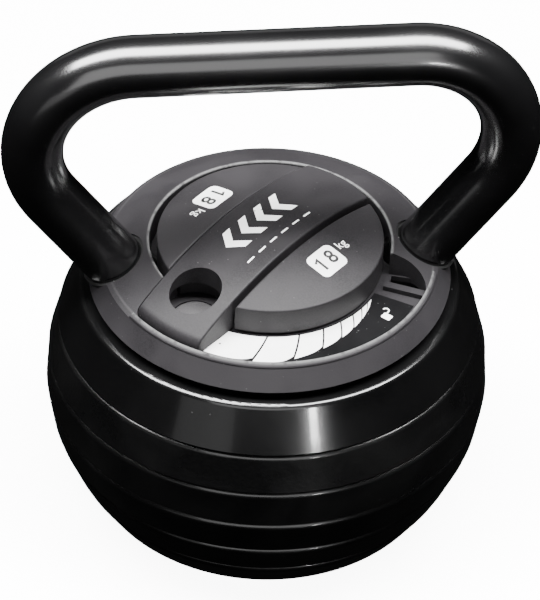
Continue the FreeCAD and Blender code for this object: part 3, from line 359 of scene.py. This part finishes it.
def mixed(tree, share, first, second):
    """Mix two colours, each a triple or a socket, by a mask."""
    inputs = {0: share}
    for key, value in ((6, first), (7, second)):
        inputs[key] = value if isinstance(value, bpy.types.NodeSocket) else (*value, 1.0)
    return put(tree, "ShaderNodeMix", inputs, data_type="RGBA").outputs[2]


print("colour mixer ready")

# %% [markdown]
# ## A finish, in one function
# All the solid finishes here are a Principled BSDF whose colour, roughness and bump change over the surface.
# The function below takes the plain numbers of one finish and wires the shared groups to the shader. A fine
# mottle of the faded tone lies over the patches. Numbers that are the same all over the piece are set on the
# shader's own inputs.

# %% Make a finish
MOTTLE_EDGES = (0.38, 0.62)
MOTTLE_SHARE = 0.8


def finish(
    name,
    colour,
    faded,
    roughness,
    grain=(1500.0, 300.0, 0.5),
    bump=(0.3, 0.00003),
    patch=(40.0, 900.0, 0.05),
    speck=(0.2, 0.2, 0.2),
    rims=(),
    rim_colour=(0.3, 0.3, 0.3),
    metallic=0.0,
    specular=0.5,
    coat=0.0,
    coat_roughness=0.1,
):
    """A material from a colour and its faded tone, a range of roughness, and the shared effects.

    grain is (fine, coarse, share of coarse), bump is (strength, depth), patch is (size, speck size, share of
    specks), and each of the rims is (radius, level, width).
    """
    material = bpy.data.materials.new(name)
    material.use_nodes = True
    tree = material.node_tree
    shader = tree.nodes["Principled BSDF"]
    where = put(tree, "ShaderNodeTexCoord").outputs["Object"]

    def effect(group, names, values):
        """Place a shared group with its own values."""
        given_here = {"Vector": where, **dict(zip(names, values))}
        return put(tree, "ShaderNodeGroup", given_here, node_tree=group).outputs

    grains = effect(grain_group, ("Fine", "Coarse", "Share"), grain)
    patches = effect(patch_group, ("Size", "Speck Size", "Speck Share"), patch)
    paint = mixed(tree, patches["Patches"], colour, faded)
    mottle_edges = {0: grains["Fine Height"], 1: MOTTLE_EDGES[0], 2: MOTTLE_EDGES[1], 4: MOTTLE_SHARE}
    mottle = put(tree, "ShaderNodeMapRange", mottle_edges, clamp=True)
    paint = mixed(tree, mottle.outputs[0], paint, faded)
    paint = mixed(tree, patches["Specks"], paint, speck)
    gloss = put(tree, "ShaderNodeMapRange", {0: patches["Patches"], 3: roughness[0], 4: roughness[1]})
    for rim in rims:
        mask = effect(rim_group, ("Radius", "Level", "Width"), rim)["Mask"]
        paint = mixed(tree, mask, paint, rim_colour)
    strength, depth = bump
    bumps = {"Strength": strength, "Distance": depth, "Height": grains["Height"]}
    height = put(tree, "ShaderNodeBump", bumps)
    tree.links.new(paint, shader.inputs["Base Color"])
    tree.links.new(gloss.outputs[0], shader.inputs["Roughness"])
    tree.links.new(height.outputs["Normal"], shader.inputs["Normal"])
    shader.inputs["Metallic"].default_value = metallic
    shader.inputs["Specular IOR Level"].default_value = specular
    shader.inputs["Coat Weight"].default_value = coat
    shader.inputs["Coat Roughness"].default_value = coat_roughness
    return material


print("finish maker ready")

# %% [markdown]
# ## Dressing a CAD piece
# A piece that comes from the frame already has a mesh, so it only needs its finish put in its material slot.

# %% Dress a CAD piece


def dress(node, material):
    """Give a CAD node its finish."""
    slots = nodes[node].data.materials
    slots.clear()
    slots.append(material)


print("ready to dress", len(nodes), "nodes")

# %% [markdown]
# ## Cast iron under black enamel
# The rings are sand cast, turned on their outer face and dipped in black enamel. The enamel fills the
# finest pits but keeps a slight peel. Its upper edges are painted a lighter grey. This is partly real wear,
# where the enamel is thin and rings are set down on each other, and partly a painted highlight of the lamp
# above. The top ring is the smoothest and the second one has the strongest peel.

# %% Enamel the rings
RINGS = ["weight_plate_%d" % n for n in range(1, 6)] + ["base_plate"]
PEEL = {"weight_plate_1": 0.022 * MM, "weight_plate_2": 0.3 * MM}
OTHER_PEEL = 0.07 * MM
for ring in RINGS:
    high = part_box(ring)[1]
    # The lighter upper edge is part real wear and part painted highlight.
    worn_and_highlit_edge = (high.x, high.z, 1.2 * MM)
    enamel = finish(
        "enamel_" + ring,
        (0.0015, 0.0015, 0.0016),
        (0.0025, 0.0025, 0.0026),
        (0.2, 0.26) if ring == RINGS[0] else (0.26, 0.4),
        grain=(700.0, 260.0, 0.35),
        bump=(0.35, PEEL.get(ring, OTHER_PEEL)),
        patch=(28.0, 900.0, 0.002),
        speck=(0.03, 0.03, 0.03),
        rims=[worn_and_highlit_edge],
        # This lighter grey on the upper edge is part wear and part painted highlight.
        rim_colour=(0.10, 0.10, 0.10),
        specular=0.5,
        coat=0.5,
        coat_roughness=0.08,
    )
    dress(ring, enamel)
print(len(RINGS), "rings enamelled")

# %% [markdown]
# ## Powder coat on the handle
# Powder coat is a baked plastic film. It is smooth in the hand, with a very fine peel that softens the
# edges of reflections, and it is what makes the long streaks on the bar.

# %% Coat the handle and the carrier plate
powder_coat = finish(
    "powder_coat",
    (0.002, 0.002, 0.0022),
    (0.0035, 0.0035, 0.0037),
    (0.19, 0.25),
    grain=(1900.0, 500.0, 0.3),
    bump=(0.25, 0.00002),
    patch=(22.0, 900.0, 0.002),
    speck=(0.02, 0.02, 0.02),
    specular=1.0,
    coat=0.5,
    coat_roughness=0.14,
)
dress("handle", powder_coat)
dress("carrier_plate", powder_coat)
print("handle coated")

# %% [markdown]
# ## Moulded plastic of the head
# The cover, the lever and the two caps are moulded in glass-filled nylon with a spark-eroded grain: matt,
# dark grey and a little chalky where fingers and dust have been. A lighter grey is painted along the rim of
# the cover's well and along the lip of its pocket as a painted highlight. Their radii and levels are measured
# on the cover itself.

# %% Find the rims that get a painted highlight
LIP_WIDTH = 3.0 * MM
well_rim = min(span for span, level in points_of("cover") if level > COVER_TOP - MM)
lip = LABEL_OUTER + LIP_WIDTH
lip_top = max(level for span, level in points_of("cover") if lip - MM < span < lip + LIP_WIDTH)
painted_highlight_rims = [
    # Painted highlight: a lighter grey along the well rim and along the pocket lip.
    (well_rim + 0.4 * MM, COVER_TOP - 0.2 * MM, 1.1 * MM),
    (lip + 0.4 * MM, lip_top, 1.2 * MM),
]
# These rims carry a painted highlight.
print("polished rims at %.1f and %.1f mm" % (well_rim / MM, lip / MM))

# %% [markdown]
# ## Four greys of one plastic
# The cover, the caps, the lever and the button are separate mouldings, so their greys differ a little. The
# button is painted the lightest, as painted light that stands in for the light reaching the bottom of the
# finger hole, and it is set to shine the most.

# %% Mould the head
cover_plastic = finish(
    "cover_plastic",
    (0.011, 0.0102, 0.0114),
    (0.019, 0.0178, 0.0194),
    (0.48, 0.6),
    grain=(1500.0, 420.0, 0.4),
    bump=(0.6, 0.00007),
    patch=(34.0, 1100.0, 0.006),
    speck=(0.05, 0.05, 0.05),
    # The rim colour of the cover is a painted highlight.
    rims=painted_highlight_rims,
    rim_colour=(0.11, 0.11, 0.11),
    specular=0.16,
)
knob_plastic = finish(
    "knob_plastic",
    (0.010, 0.0094, 0.0103),
    (0.020, 0.0188, 0.0203),
    (0.46, 0.58),
    grain=(1300.0, 380.0, 0.4),
    bump=(0.6, 0.00007),
    patch=(30.0, 1000.0, 0.008),
    speck=(0.06, 0.06, 0.06),
    specular=0.16,
)
lever_plastic = finish(
    "lever_plastic",
    (0.009, 0.0084, 0.0093),
    (0.018, 0.0168, 0.0183),
    (0.46, 0.58),
    grain=(1300.0, 380.0, 0.4),
    bump=(0.6, 0.00007),
    patch=(36.0, 1000.0, 0.008),
    speck=(0.06, 0.06, 0.06),
    specular=0.16,
)
# Painted light: the button is made lighter than the other plastics to stand in for light reaching into the
# finger hole.
button_plastic = finish(
    "button_plastic",
    (0.024, 0.023, 0.024),
    (0.055, 0.053, 0.055),
    (0.4, 0.5),
    grain=(1300.0, 380.0, 0.4),
    bump=(0.8, 0.00009),
    patch=(60.0, 1000.0, 0.008),
    speck=(0.09, 0.09, 0.09),
    specular=0.4,
)
dress("cover", cover_plastic)
dress("lever_bar", lever_plastic)
dress("release_button", button_plastic)
for node in ("front_cap", "rear_cap", "knob_body"):
    dress(node, knob_plastic)
print("head moulded")

# %% [markdown]
# ## Rubber, nylon, steel and bronze
# The rest is small or inside: rubber at the legs and under the base, nylon guides, zinc plated steel,
# spring steel, blackened screws and a sintered bronze bush.

# %% Finish the small pieces
rubber = finish("rubber", (0.009, 0.009, 0.009), (0.016, 0.016, 0.016), (0.7, 0.85), specular=0.2)
nylon = finish("nylon", (0.02, 0.02, 0.02), (0.03, 0.03, 0.03), (0.4, 0.55))
zinc = finish(
    "zinc_plate", (0.5, 0.5, 0.51), (0.62, 0.61, 0.6), (0.28, 0.42), metallic=1.0, bump=(0.15, 0.00002)
)
spring_steel = finish(
    "spring_steel", (0.28, 0.28, 0.29), (0.36, 0.36, 0.37), (0.22, 0.34), metallic=1.0, bump=(0.1, 0.00002)
)
screw_steel = finish(
    "screw_steel", (0.09, 0.09, 0.095), (0.14, 0.14, 0.14), (0.3, 0.45), metallic=1.0, bump=(0.2, 0.00002)
)
bronze = finish(
    "sintered_bronze", (0.42, 0.27, 0.12), (0.5, 0.34, 0.17), (0.35, 0.5), metallic=1.0, bump=(0.3, 0.00003)
)
film = finish(
    "label_film",
    (0.003, 0.003, 0.0033),
    (0.005, 0.005, 0.0053),
    (0.34, 0.44),
    bump=(0.2, 0.00002),
    patch=(60.0, 1400.0, 0.02),
    speck=(0.12, 0.12, 0.12),
    specular=0.06,
)
SMALL = {
    rubber: ["leg_collars", "foot_ring"],
    nylon: ["core_foot", "lobe_spacers", "detent_cam"],
    zinc: ["core_tube", "spring_posts", "selector_shaft", "lock_lobes"],
    spring_steel: ["button_spring", "detent_spring", "retaining_ring"],
    screw_steel: ["cover_screws", "cap_screws", "shaft_screw"],
    bronze: ["shaft_bush", "thrust_washer"],
    film: ["indicator_label"],
}
for material, names in SMALL.items():
    for node in names:
        dress(node, material)
print(sum(map(len, SMALL.values())), "small pieces finished")

# %% [markdown]
# ## The spring under the button
# The release button stands on a small spring. When the button goes down the spring gets shorter and its
# foot stays where it is. Here a copy of the spring, with its doubled points welded, stands in for it and
# rides on the bell, and the CAD spring is hidden.

# %% Stand in a copy of the spring
WELD = 0.001 * MM
coil_mesh = nodes["button_spring"].data.copy()
work = bmesh.new()
work.from_mesh(coil_mesh)
bmesh.ops.remove_doubles(work, verts=work.verts[:], dist=WELD)
work.to_mesh(coil_mesh)
work.free()
coil = bpy.data.objects.new("button_coil", coil_mesh)
bpy.context.scene.collection.objects.link(coil)
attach(coil, "bell")
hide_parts("button_spring")
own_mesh(coil)

# %% [markdown]
# ## Printing on a curved face
# A pad print is a film of ink, thinner than a hair, that follows the face it is pressed on. Each print
# below starts flat, is cut into small cells so that it can bend, is dropped straight down on the CAD
# surface with a ray for each corner, and gets a real thickness. A print on top of another is lifted by two
# layers of ink, one for the print below and one as a hair of air between them, because their cells bend a
# little differently on a dome and would otherwise cut through each other. Each print is a closed piece.

# %% Tools for prints
INK = 0.06 * MM
CELL = 2.0 * MM
ABOVE_ALL = 1.0
DOWN = Vector((0, 0, -1))
ON_TOP = 2


def arc_points(centre, radius, first, steps, step_turn):
    """Points along an arc, from a first angle on, by equal turns."""
    turns = [first + step_turn * step for step in range(steps + 1)]
    return [(centre[0] + radius * math.cos(a), centre[1] + radius * math.sin(a)) for a in turns]


def flat_mesh(name, outline):
    """A flat face through outline points."""
    mesh = bpy.data.meshes.new(name)
    mesh.from_pydata([(x, y, 0.0) for x, y in outline], [], [list(range(len(outline)))])
    return mesh


def in_cells(work, pitch):
    """Cut a flat mesh along both directions, so that it can follow a dome."""
    for axis in (0, 1):
        values = [v.co[axis] for v in work.verts]
        for step in range(math.ceil(min(values) / pitch), math.floor(max(values) / pitch) + 1):
            spot, normal = Vector((0, 0, 0)), Vector((0, 0, 0))
            spot[axis], normal[axis] = step * pitch, 1.0
            everything = work.verts[:] + work.edges[:] + work.faces[:]
            bmesh.ops.bisect_plane(work, geom=everything, plane_co=spot, plane_no=normal, dist=WELD / 10)


def print_on(name, mesh, onto, body, ink, place=Matrix(), layer=0):
    """Lay a flat mesh on CAD nodes as a film of ink, and ride it on a body."""
    work = bmesh.new()
    work.from_mesh(mesh)
    bmesh.ops.remove_doubles(work, verts=work.verts[:], dist=WELD)
    bmesh.ops.triangulate(work, faces=work.faces[:])
    in_cells(work, CELL)
    bmesh.ops.triangulate(work, faces=work.faces[:])
    bmesh.ops.transform(work, matrix=place, verts=work.verts[:])
    faces = [BVHTree.FromPolygons([v.co for v in nodes[n].data.vertices],
                                  [p.vertices for p in nodes[n].data.polygons]) for n in onto]
    missed = 0
    for corner in work.verts:
        start = Vector((corner.co.x, corner.co.y, ABOVE_ALL))
        hits = [tree.ray_cast(start, DOWN)[0] for tree in faces]
        levels = [hit.z for hit in hits if hit is not None]
        missed += not levels
        corner.co.z = max(levels, default=COVER_TOP) + layer * INK
    film_faces = work.faces[:]
    grown = bmesh.ops.extrude_face_region(work, geom=film_faces, use_keep_orig=True)
    upper = [item for item in grown["geom"] if isinstance(item, bmesh.types.BMVert)]
    bmesh.ops.translate(work, vec=Vector((0, 0, INK)), verts=upper)
    bmesh.ops.recalc_face_normals(work, faces=work.faces[:])
    made = bpy.data.meshes.new(name)
    work.to_mesh(made)
    work.free()
    made.materials.append(ink)
    piece = bpy.data.objects.new(name, made)
    bpy.context.scene.collection.objects.link(piece)
    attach(piece, body)
    print(name, "laid with", len(made.polygons), "faces,", missed, "corners missed")


print("ink is %.2f mm thick" % (INK / MM))

# %% [markdown]
# ## Two inks
# The white of a pad print is nearly opaque, with a faint tooth. The black of the figures is the same ink in
# another colour.

# %% Mix the inks
white_ink = finish(
    "white_ink",
    (0.93, 0.93, 0.93),
    (0.86, 0.86, 0.85),
    (0.42, 0.55),
    grain=(1800.0, 500.0, 0.3),
    bump=(0.15, 0.00002),
    patch=(120.0, 700.0, 0.004),
    speck=(0.1, 0.1, 0.1),
    specular=0.4,
)
black_ink = finish("black_ink", (0.006, 0.006, 0.006), (0.012, 0.012, 0.012), (0.4, 0.55), specular=0.4)
print("inks mixed")

# %% [markdown]
# ## The scale, a shape that follows a rule
# The scale beside the lever is eight white fields that shrink one after another, each a fixed share of the
# one before it, inside a band that narrows to a tip. Because the shape follows a rule, it is made with
# Geometry Nodes: one unit grid is placed eight times, each copy knows its own number, and a Set Position
# node bends every point of it to its radius and angle. The inputs are the sizes of the rule, so a wider
# scale is one new number.

# %% Place and number the fields
scale_tree, given, result = new_group(
    "scale_fields",
    "GeometryNodeTree",
    [
        ("Fields", "NodeSocketInt", 8),
        ("Start", FLOAT, 4.37),
        ("First Width", FLOAT, 0.34),
        ("Ratio", FLOAT, 0.8),
        ("Lean", FLOAT, 0.1),
        ("Gap", FLOAT, 0.01),
        ("Inner", FLOAT, 0.05),
        ("Outer", FLOAT, 0.067),
        ("Taper Start", FLOAT, 4.9),
        ("Taper", FLOAT, 0.016),
        ("Corner", FLOAT, 0.2),
        ("Ink", "NodeSocketMaterial", None),
    ],
    [("Geometry", "NodeSocketGeometry")],
)
unit_grid = {"Size X": 1.0, "Size Y": 1.0, "Vertices X": 13, "Vertices Y": 9}
grid = put(scale_tree, "GeometryNodeMeshGrid", unit_grid)
row = put(scale_tree, "GeometryNodeMeshLine", {"Count": given["Fields"], "Offset": (0.0, 0.0, 0.0)})
own_number = put(scale_tree, "GeometryNodeInputIndex").outputs[0]
numbered = put(
    scale_tree,
    "GeometryNodeStoreNamedAttribute",
    {"Geometry": row.outputs[0], "Name": "field", "Value": own_number},
    data_type="FLOAT",
    domain="POINT",
)
copies = put(
    scale_tree,
    "GeometryNodeInstanceOnPoints",
    {"Points": numbered.outputs[0], "Instance": grid.outputs[0]},
)
joined = put(scale_tree, "GeometryNodeRealizeInstances", {0: copies.outputs[0]})
print("scale tree:", len(scale_tree.nodes), "nodes place and number the fields")

# %% [markdown]
# ## The rule of the scale
# Widths that shrink by a fixed ratio add up as a geometric series, so the angle where a field starts needs
# no loop: it is the first width times one minus the ratio to the field's number, over one minus the ratio.
# Within its field a point goes from side to side by its place along the grid, and outwards by its place
# across it. A high power of the first rounds one outer corner, and the outer radius falls past a set angle.

# %% Work out each point's angle and radius
CORNER_POWER = 7.0
field = put(scale_tree, "GeometryNodeInputNamedAttribute", {"Name": "field"}, data_type="FLOAT").outputs[0]
place_in_grid = put(scale_tree, "GeometryNodeInputPosition").outputs[0]
spot = put(scale_tree, "ShaderNodeSeparateXYZ", {0: place_in_grid}).outputs
along = total(scale_tree, "ADD", spot[0], 0.5)
across = total(scale_tree, "ADD", spot[1], 0.5)
shrink = total(scale_tree, "POWER", given["Ratio"], field)
width = total(scale_tree, "MULTIPLY", given["First Width"], shrink)
before = total(
    scale_tree,
    "DIVIDE",
    total(scale_tree, "MULTIPLY", given["First Width"], total(scale_tree, "SUBTRACT", 1.0, shrink)),
    total(scale_tree, "SUBTRACT", 1.0, given["Ratio"]),
)
within = total(
    scale_tree,
    "MULTIPLY_ADD",
    along,
    total(scale_tree, "SUBTRACT", width, given["Gap"]),
    total(scale_tree, "MULTIPLY", given["Gap"], 0.5),
)
angle_in = total(scale_tree, "ADD", given["Start"], total(scale_tree, "ADD", before, within))
beyond = total(scale_tree, "SUBTRACT", angle_in, given["Taper Start"])
past = total(scale_tree, "MAXIMUM", beyond, 0.0)
outer = total(scale_tree, "SUBTRACT", given["Outer"], total(scale_tree, "MULTIPLY", past, given["Taper"]))
band = total(scale_tree, "SUBTRACT", outer, given["Inner"])
rounding = total(scale_tree, "MULTIPLY", total(scale_tree, "POWER", along, CORNER_POWER), given["Corner"])
share = total(scale_tree, "MULTIPLY", across, total(scale_tree, "SUBTRACT", 1.0, rounding))
radius = total(scale_tree, "MULTIPLY_ADD", band, share, given["Inner"])
angle = total(scale_tree, "SUBTRACT", angle_in, total(scale_tree, "MULTIPLY", given["Lean"], share))
print("scale tree:", len(scale_tree.nodes), "nodes with the rule")

# %% [markdown]
# ## Bending the fields
# An angle and a radius become a place with a cosine and a sine. Set Position moves every point there, and Set
# Material inks the result.

# %% Bend the fields
bent_x = total(scale_tree, "MULTIPLY", radius, total(scale_tree, "COSINE", angle))
bent_y = total(scale_tree, "MULTIPLY", radius, total(scale_tree, "SINE", angle))
bent = put(scale_tree, "ShaderNodeCombineXYZ", {0: bent_x, 1: bent_y})
placed = put(
    scale_tree,
    "GeometryNodeSetPosition",
    {"Geometry": joined.outputs[0], "Position": bent.outputs[0]},
)
inked = put(scale_tree, "GeometryNodeSetMaterial", {"Geometry": placed.outputs[0], "Material": given["Ink"]})
scale_tree.links.new(inked.outputs[0], result["Geometry"])
print("scale tree:", len(scale_tree.nodes), "nodes in all")

# %% [markdown]
# ## From a tree to a print
# A tree does nothing until a modifier runs it on a mesh. The helper hangs the modifier on a host object, sets
# the inputs by their identifiers, keeps the result as a plain mesh and removes the host.

# %% Run a tree and keep its mesh


def grow(name, tree, values, seed_mesh):
    """Run a Geometry Nodes tree on a mesh with named values, and return the result as a plain mesh."""
    host = bpy.data.objects.new(name + "_host", seed_mesh)
    bpy.context.scene.collection.objects.link(host)
    modifier = host.modifiers.new("tree", "NODES")
    modifier.node_group = tree
    sockets = {s.name: s.identifier for s in tree.interface.items_tree if s.in_out == "INPUT"}
    for key, value in values.items():
        modifier[sockets[key]] = value
    ready = host.evaluated_get(bpy.context.evaluated_depsgraph_get())
    mesh = bpy.data.meshes.new_from_object(ready)
    host.modifiers.clear()
    bpy.data.objects.remove(host)
    return mesh


print("ready to run trees")

# %% [markdown]
# ## The scale in its place
# The scale starts beside the lever's nose, lies a little inside the edges of the film and narrows towards
# the lock sign. A small black dot in the first field marks its start.

# %% Print the scale and its dot
SCALE_START = LEVER_TURN + math.radians(19.1)
fields_mesh = grow(
    "scale_fields",
    scale_tree,
    {
        "Fields": 8,
        "Start": SCALE_START,
        "First Width": math.radians(19.5),
        "Ratio": 0.8,
        "Lean": math.radians(5.6),
        "Gap": math.radians(0.95),
        "Inner": LABEL_INNER + 0.7 * MM,
        "Outer": LABEL_OUTER - 2.2 * MM,
        "Taper Start": math.radians(281.0) - 2 * math.pi * (SCALE_START < 0),
        "Taper": 15.8 * MM,
        "Corner": 0.13,
        "Ink": white_ink,
    },
    bpy.data.meshes.new("scale_seed"),
)
print_on("scale_fields", fields_mesh, ["indicator_label"], "bell", white_ink)
DOT_SIDES = 16
DOT_TURN = LEVER_TURN + math.radians(18.9)
dot_place = Matrix.Rotation(DOT_TURN, 4, "Z") @ Matrix.Translation(((LABEL_INNER + LABEL_OUTER) / 2, 0, 0))
dot = flat_mesh("scale_dot", arc_points((0, 0), 0.5 * MM, 0, DOT_SIDES - 1, 2 * math.pi / DOT_SIDES))
print_on("scale_dot", dot, ["indicator_label"], "bell", black_ink, dot_place, layer=ON_TOP)
print("scale starts at %.1f degrees" % (math.degrees(SCALE_START) % 360))

# %% [markdown]
# ## The open lock sign
# A small open padlock at the end of the scale marks the unlocked position. It is a rounded square and a
# hook, drawn flat, with its upright along the direction in which the lever turns.

# %% Draw the lock sign


def rounded_box(width, height, corner, steps=5):
    """Outline of a rectangle with round corners, centred on the origin."""
    points = []
    quarter_turn = math.pi / 2
    for quarter, (sx, sy) in enumerate(((1, 1), (-1, 1), (-1, -1), (1, -1))):
        centre = (sx * (width / 2 - corner), sy * (height / 2 - corner))
        points += arc_points(centre, corner, quarter_turn * quarter, steps, quarter_turn / steps)
    return points


def ribbon(path, width):
    """Outline of a flat band along a path."""
    one_side, other_side = [], []
    for n, point in enumerate(path):
        ahead = Vector(path[min(n + 1, len(path) - 1)]) - Vector(path[max(n - 1, 0)])
        side = Vector((-ahead.y, ahead.x)).normalized() * width / 2
        one_side.append((point[0] + side.x, point[1] + side.y))
        other_side.append((point[0] - side.x, point[1] - side.y))
    return one_side + other_side[::-1]


LOCK_RADIUS = LABEL_OUTER - 6.6 * MM
LOCK_TURN = LEVER_TURN + math.radians(93.9)
lock_place = Matrix.Rotation(LOCK_TURN, 4, "Z") @ Matrix.Translation((LOCK_RADIUS, 0, 0))
lock_box = flat_mesh("lock_box", rounded_box(4.4 * MM, 3.4 * MM, 0.6 * MM))
print_on("lock_sign_box", lock_box, ["indicator_label"], "bell", white_ink, lock_place)
HOOK = 1.35 * MM
HOOK_LEG = 1.5 * MM
HOOK_FOOT = (-1.2 * MM, 1.5 * MM)
HOOK_STEPS = 12
hook_centre = (HOOK_FOOT[0] - HOOK, HOOK_FOOT[1] + HOOK_LEG)
hook_path = [HOOK_FOOT] + arc_points(hook_centre, HOOK, 0, HOOK_STEPS, math.pi / HOOK_STEPS)
lock_hook = flat_mesh("lock_hook", ribbon(hook_path, 0.62 * MM))
print_on("lock_sign_hook", lock_hook, ["indicator_label"], "bell", white_ink, lock_place)

# %% [markdown]
# ## The load numbers on the caps
# Each cap has a white rounded field with the load in dark figures and the unit beside it, printed so that
# one of them can be read from either side of the bell. The plain stroke of the one is a flat band. A text
# object gives the rest: it is turned into a mesh first, and only then laid on the dome.

# %% Print the load numbers


def lettering(name, words, size, spread, weight):
    """Flat text mesh, centred on the origin; the weight is added to each side of a stroke."""
    data = bpy.data.curves.new(name, "FONT")
    data.body = words
    data.size = size
    data.space_character = spread
    data.offset = weight
    data.align_x = "CENTER"
    data.align_y = "CENTER"
    text = bpy.data.objects.new(name, data)
    bpy.context.scene.collection.objects.link(text)
    mesh = bpy.data.meshes.new_from_object(text.evaluated_get(bpy.context.evaluated_depsgraph_get()))
    bpy.data.objects.remove(text)
    return mesh


BADGE_OUT = 32.6 * MM
BADGE = rounded_box(15.6 * MM, 13.0 * MM, 2.8 * MM)
ONE = ribbon([(-2.0 * MM, 1.7 * MM), (0, 3.5 * MM), (0, -3.5 * MM)], 1.3 * MM)
for cap, side in (("front_cap", 1), ("rear_cap", -1)):
    spin = math.pi if side > 0 else 0.0
    badge_place = LEVER @ Matrix.Translation((1.0 * MM, side * BADGE_OUT, 0)) @ Matrix.Rotation(spin, 4, "Z")
    one_place = badge_place @ Matrix.Translation((-3.4 * MM, 0, 0))
    eight_place = badge_place @ Matrix.Translation((3.2 * MM, 0, 0))
    unit_place = badge_place @ Matrix.Translation((12.4 * MM, 2.2 * MM, 0))
    badge = flat_mesh(cap + "_badge", BADGE)
    one = flat_mesh(cap + "_one", ONE)
    eight = lettering(cap + "_eight", "8", 9.8 * MM, spread=1.0, weight=0.17 * MM)
    unit = lettering(cap + "_unit", "kg", 5.8 * MM, spread=1.08, weight=0.0)
    print_on(cap + "_badge", badge, [cap], "lever", white_ink, badge_place)
    print_on(cap + "_one", one, [cap], "lever", black_ink, one_place, layer=ON_TOP)
    print_on(cap + "_eight", eight, [cap], "lever", black_ink, eight_place, layer=ON_TOP)
    print_on(cap + "_unit", unit, [cap], "lever", white_ink, unit_place)

# %% [markdown]
# ## Arrows along the lever
# The bar carries a row of bold arrows that point to the finger hole, beside a fine dashed line. One arrow
# and one dash are drawn, and the same tree repeats each with an even pitch, so their number and spacing are
# two inputs.

# %% Build the row tree
row_tree, given, result = new_group(
    "even_row",
    "GeometryNodeTree",
    [
        ("Geometry", "NodeSocketGeometry", None),
        ("Count", "NodeSocketInt", 4),
        ("Pitch", FLOAT, 0.01),
        ("Ink", "NodeSocketMaterial", None),
    ],
    [("Geometry", "NodeSocketGeometry")],
)
step_by = put(row_tree, "ShaderNodeCombineXYZ", {0: given["Pitch"]})
line = put(row_tree, "GeometryNodeMeshLine", {"Count": given["Count"], "Offset": step_by.outputs[0]})
repeated = put(
    row_tree,
    "GeometryNodeInstanceOnPoints",
    {"Points": line.outputs[0], "Instance": given["Geometry"]},
)
whole = put(row_tree, "GeometryNodeRealizeInstances", {0: repeated.outputs[0]})
marked = put(row_tree, "GeometryNodeSetMaterial", {"Geometry": whole.outputs[0], "Material": given["Ink"]})
row_tree.links.new(marked.outputs[0], result["Geometry"])
print("row tree:", len(row_tree.nodes), "nodes")

# %% [markdown]
# ## One arrow and one dash
# An arrow is a bent band with six corners, and a dash is a small rounded box. Both rows start from a place
# on the lever and run along it.

# %% Print the arrows and the dashes
ARROW_HIGH, ARROW_THICK, ARROW_LEAD = 13.0 * MM, 4.6 * MM, 5.2 * MM
arrow = flat_mesh(
    "arrow",
    [
        (0, -ARROW_HIGH / 2),
        (ARROW_THICK, -ARROW_HIGH / 2),
        (ARROW_THICK + ARROW_LEAD, 0),
        (ARROW_THICK, ARROW_HIGH / 2),
        (0, ARROW_HIGH / 2),
        (ARROW_LEAD, 0),
    ],
)
arrows = grow("arrows", row_tree, {"Count": 4, "Pitch": 10.4 * MM, "Ink": white_ink}, arrow)
arrow_place = LEVER @ Matrix.Translation((-15.0 * MM, -3.6 * MM, 0))
print_on("lever_arrows", arrows, ["lever_bar"], "lever", white_ink, arrow_place)
dash = flat_mesh("dash", rounded_box(4.4 * MM, 0.8 * MM, 0.3 * MM))
dashes = grow("dashes", row_tree, {"Count": 6, "Pitch": 7.6 * MM, "Ink": white_ink}, dash)
dash_place = LEVER @ Matrix.Translation((-13.0 * MM, 9.6 * MM, 0))
print_on("lever_dashes", dashes, ["lever_bar"], "lever", white_ink, dash_place)
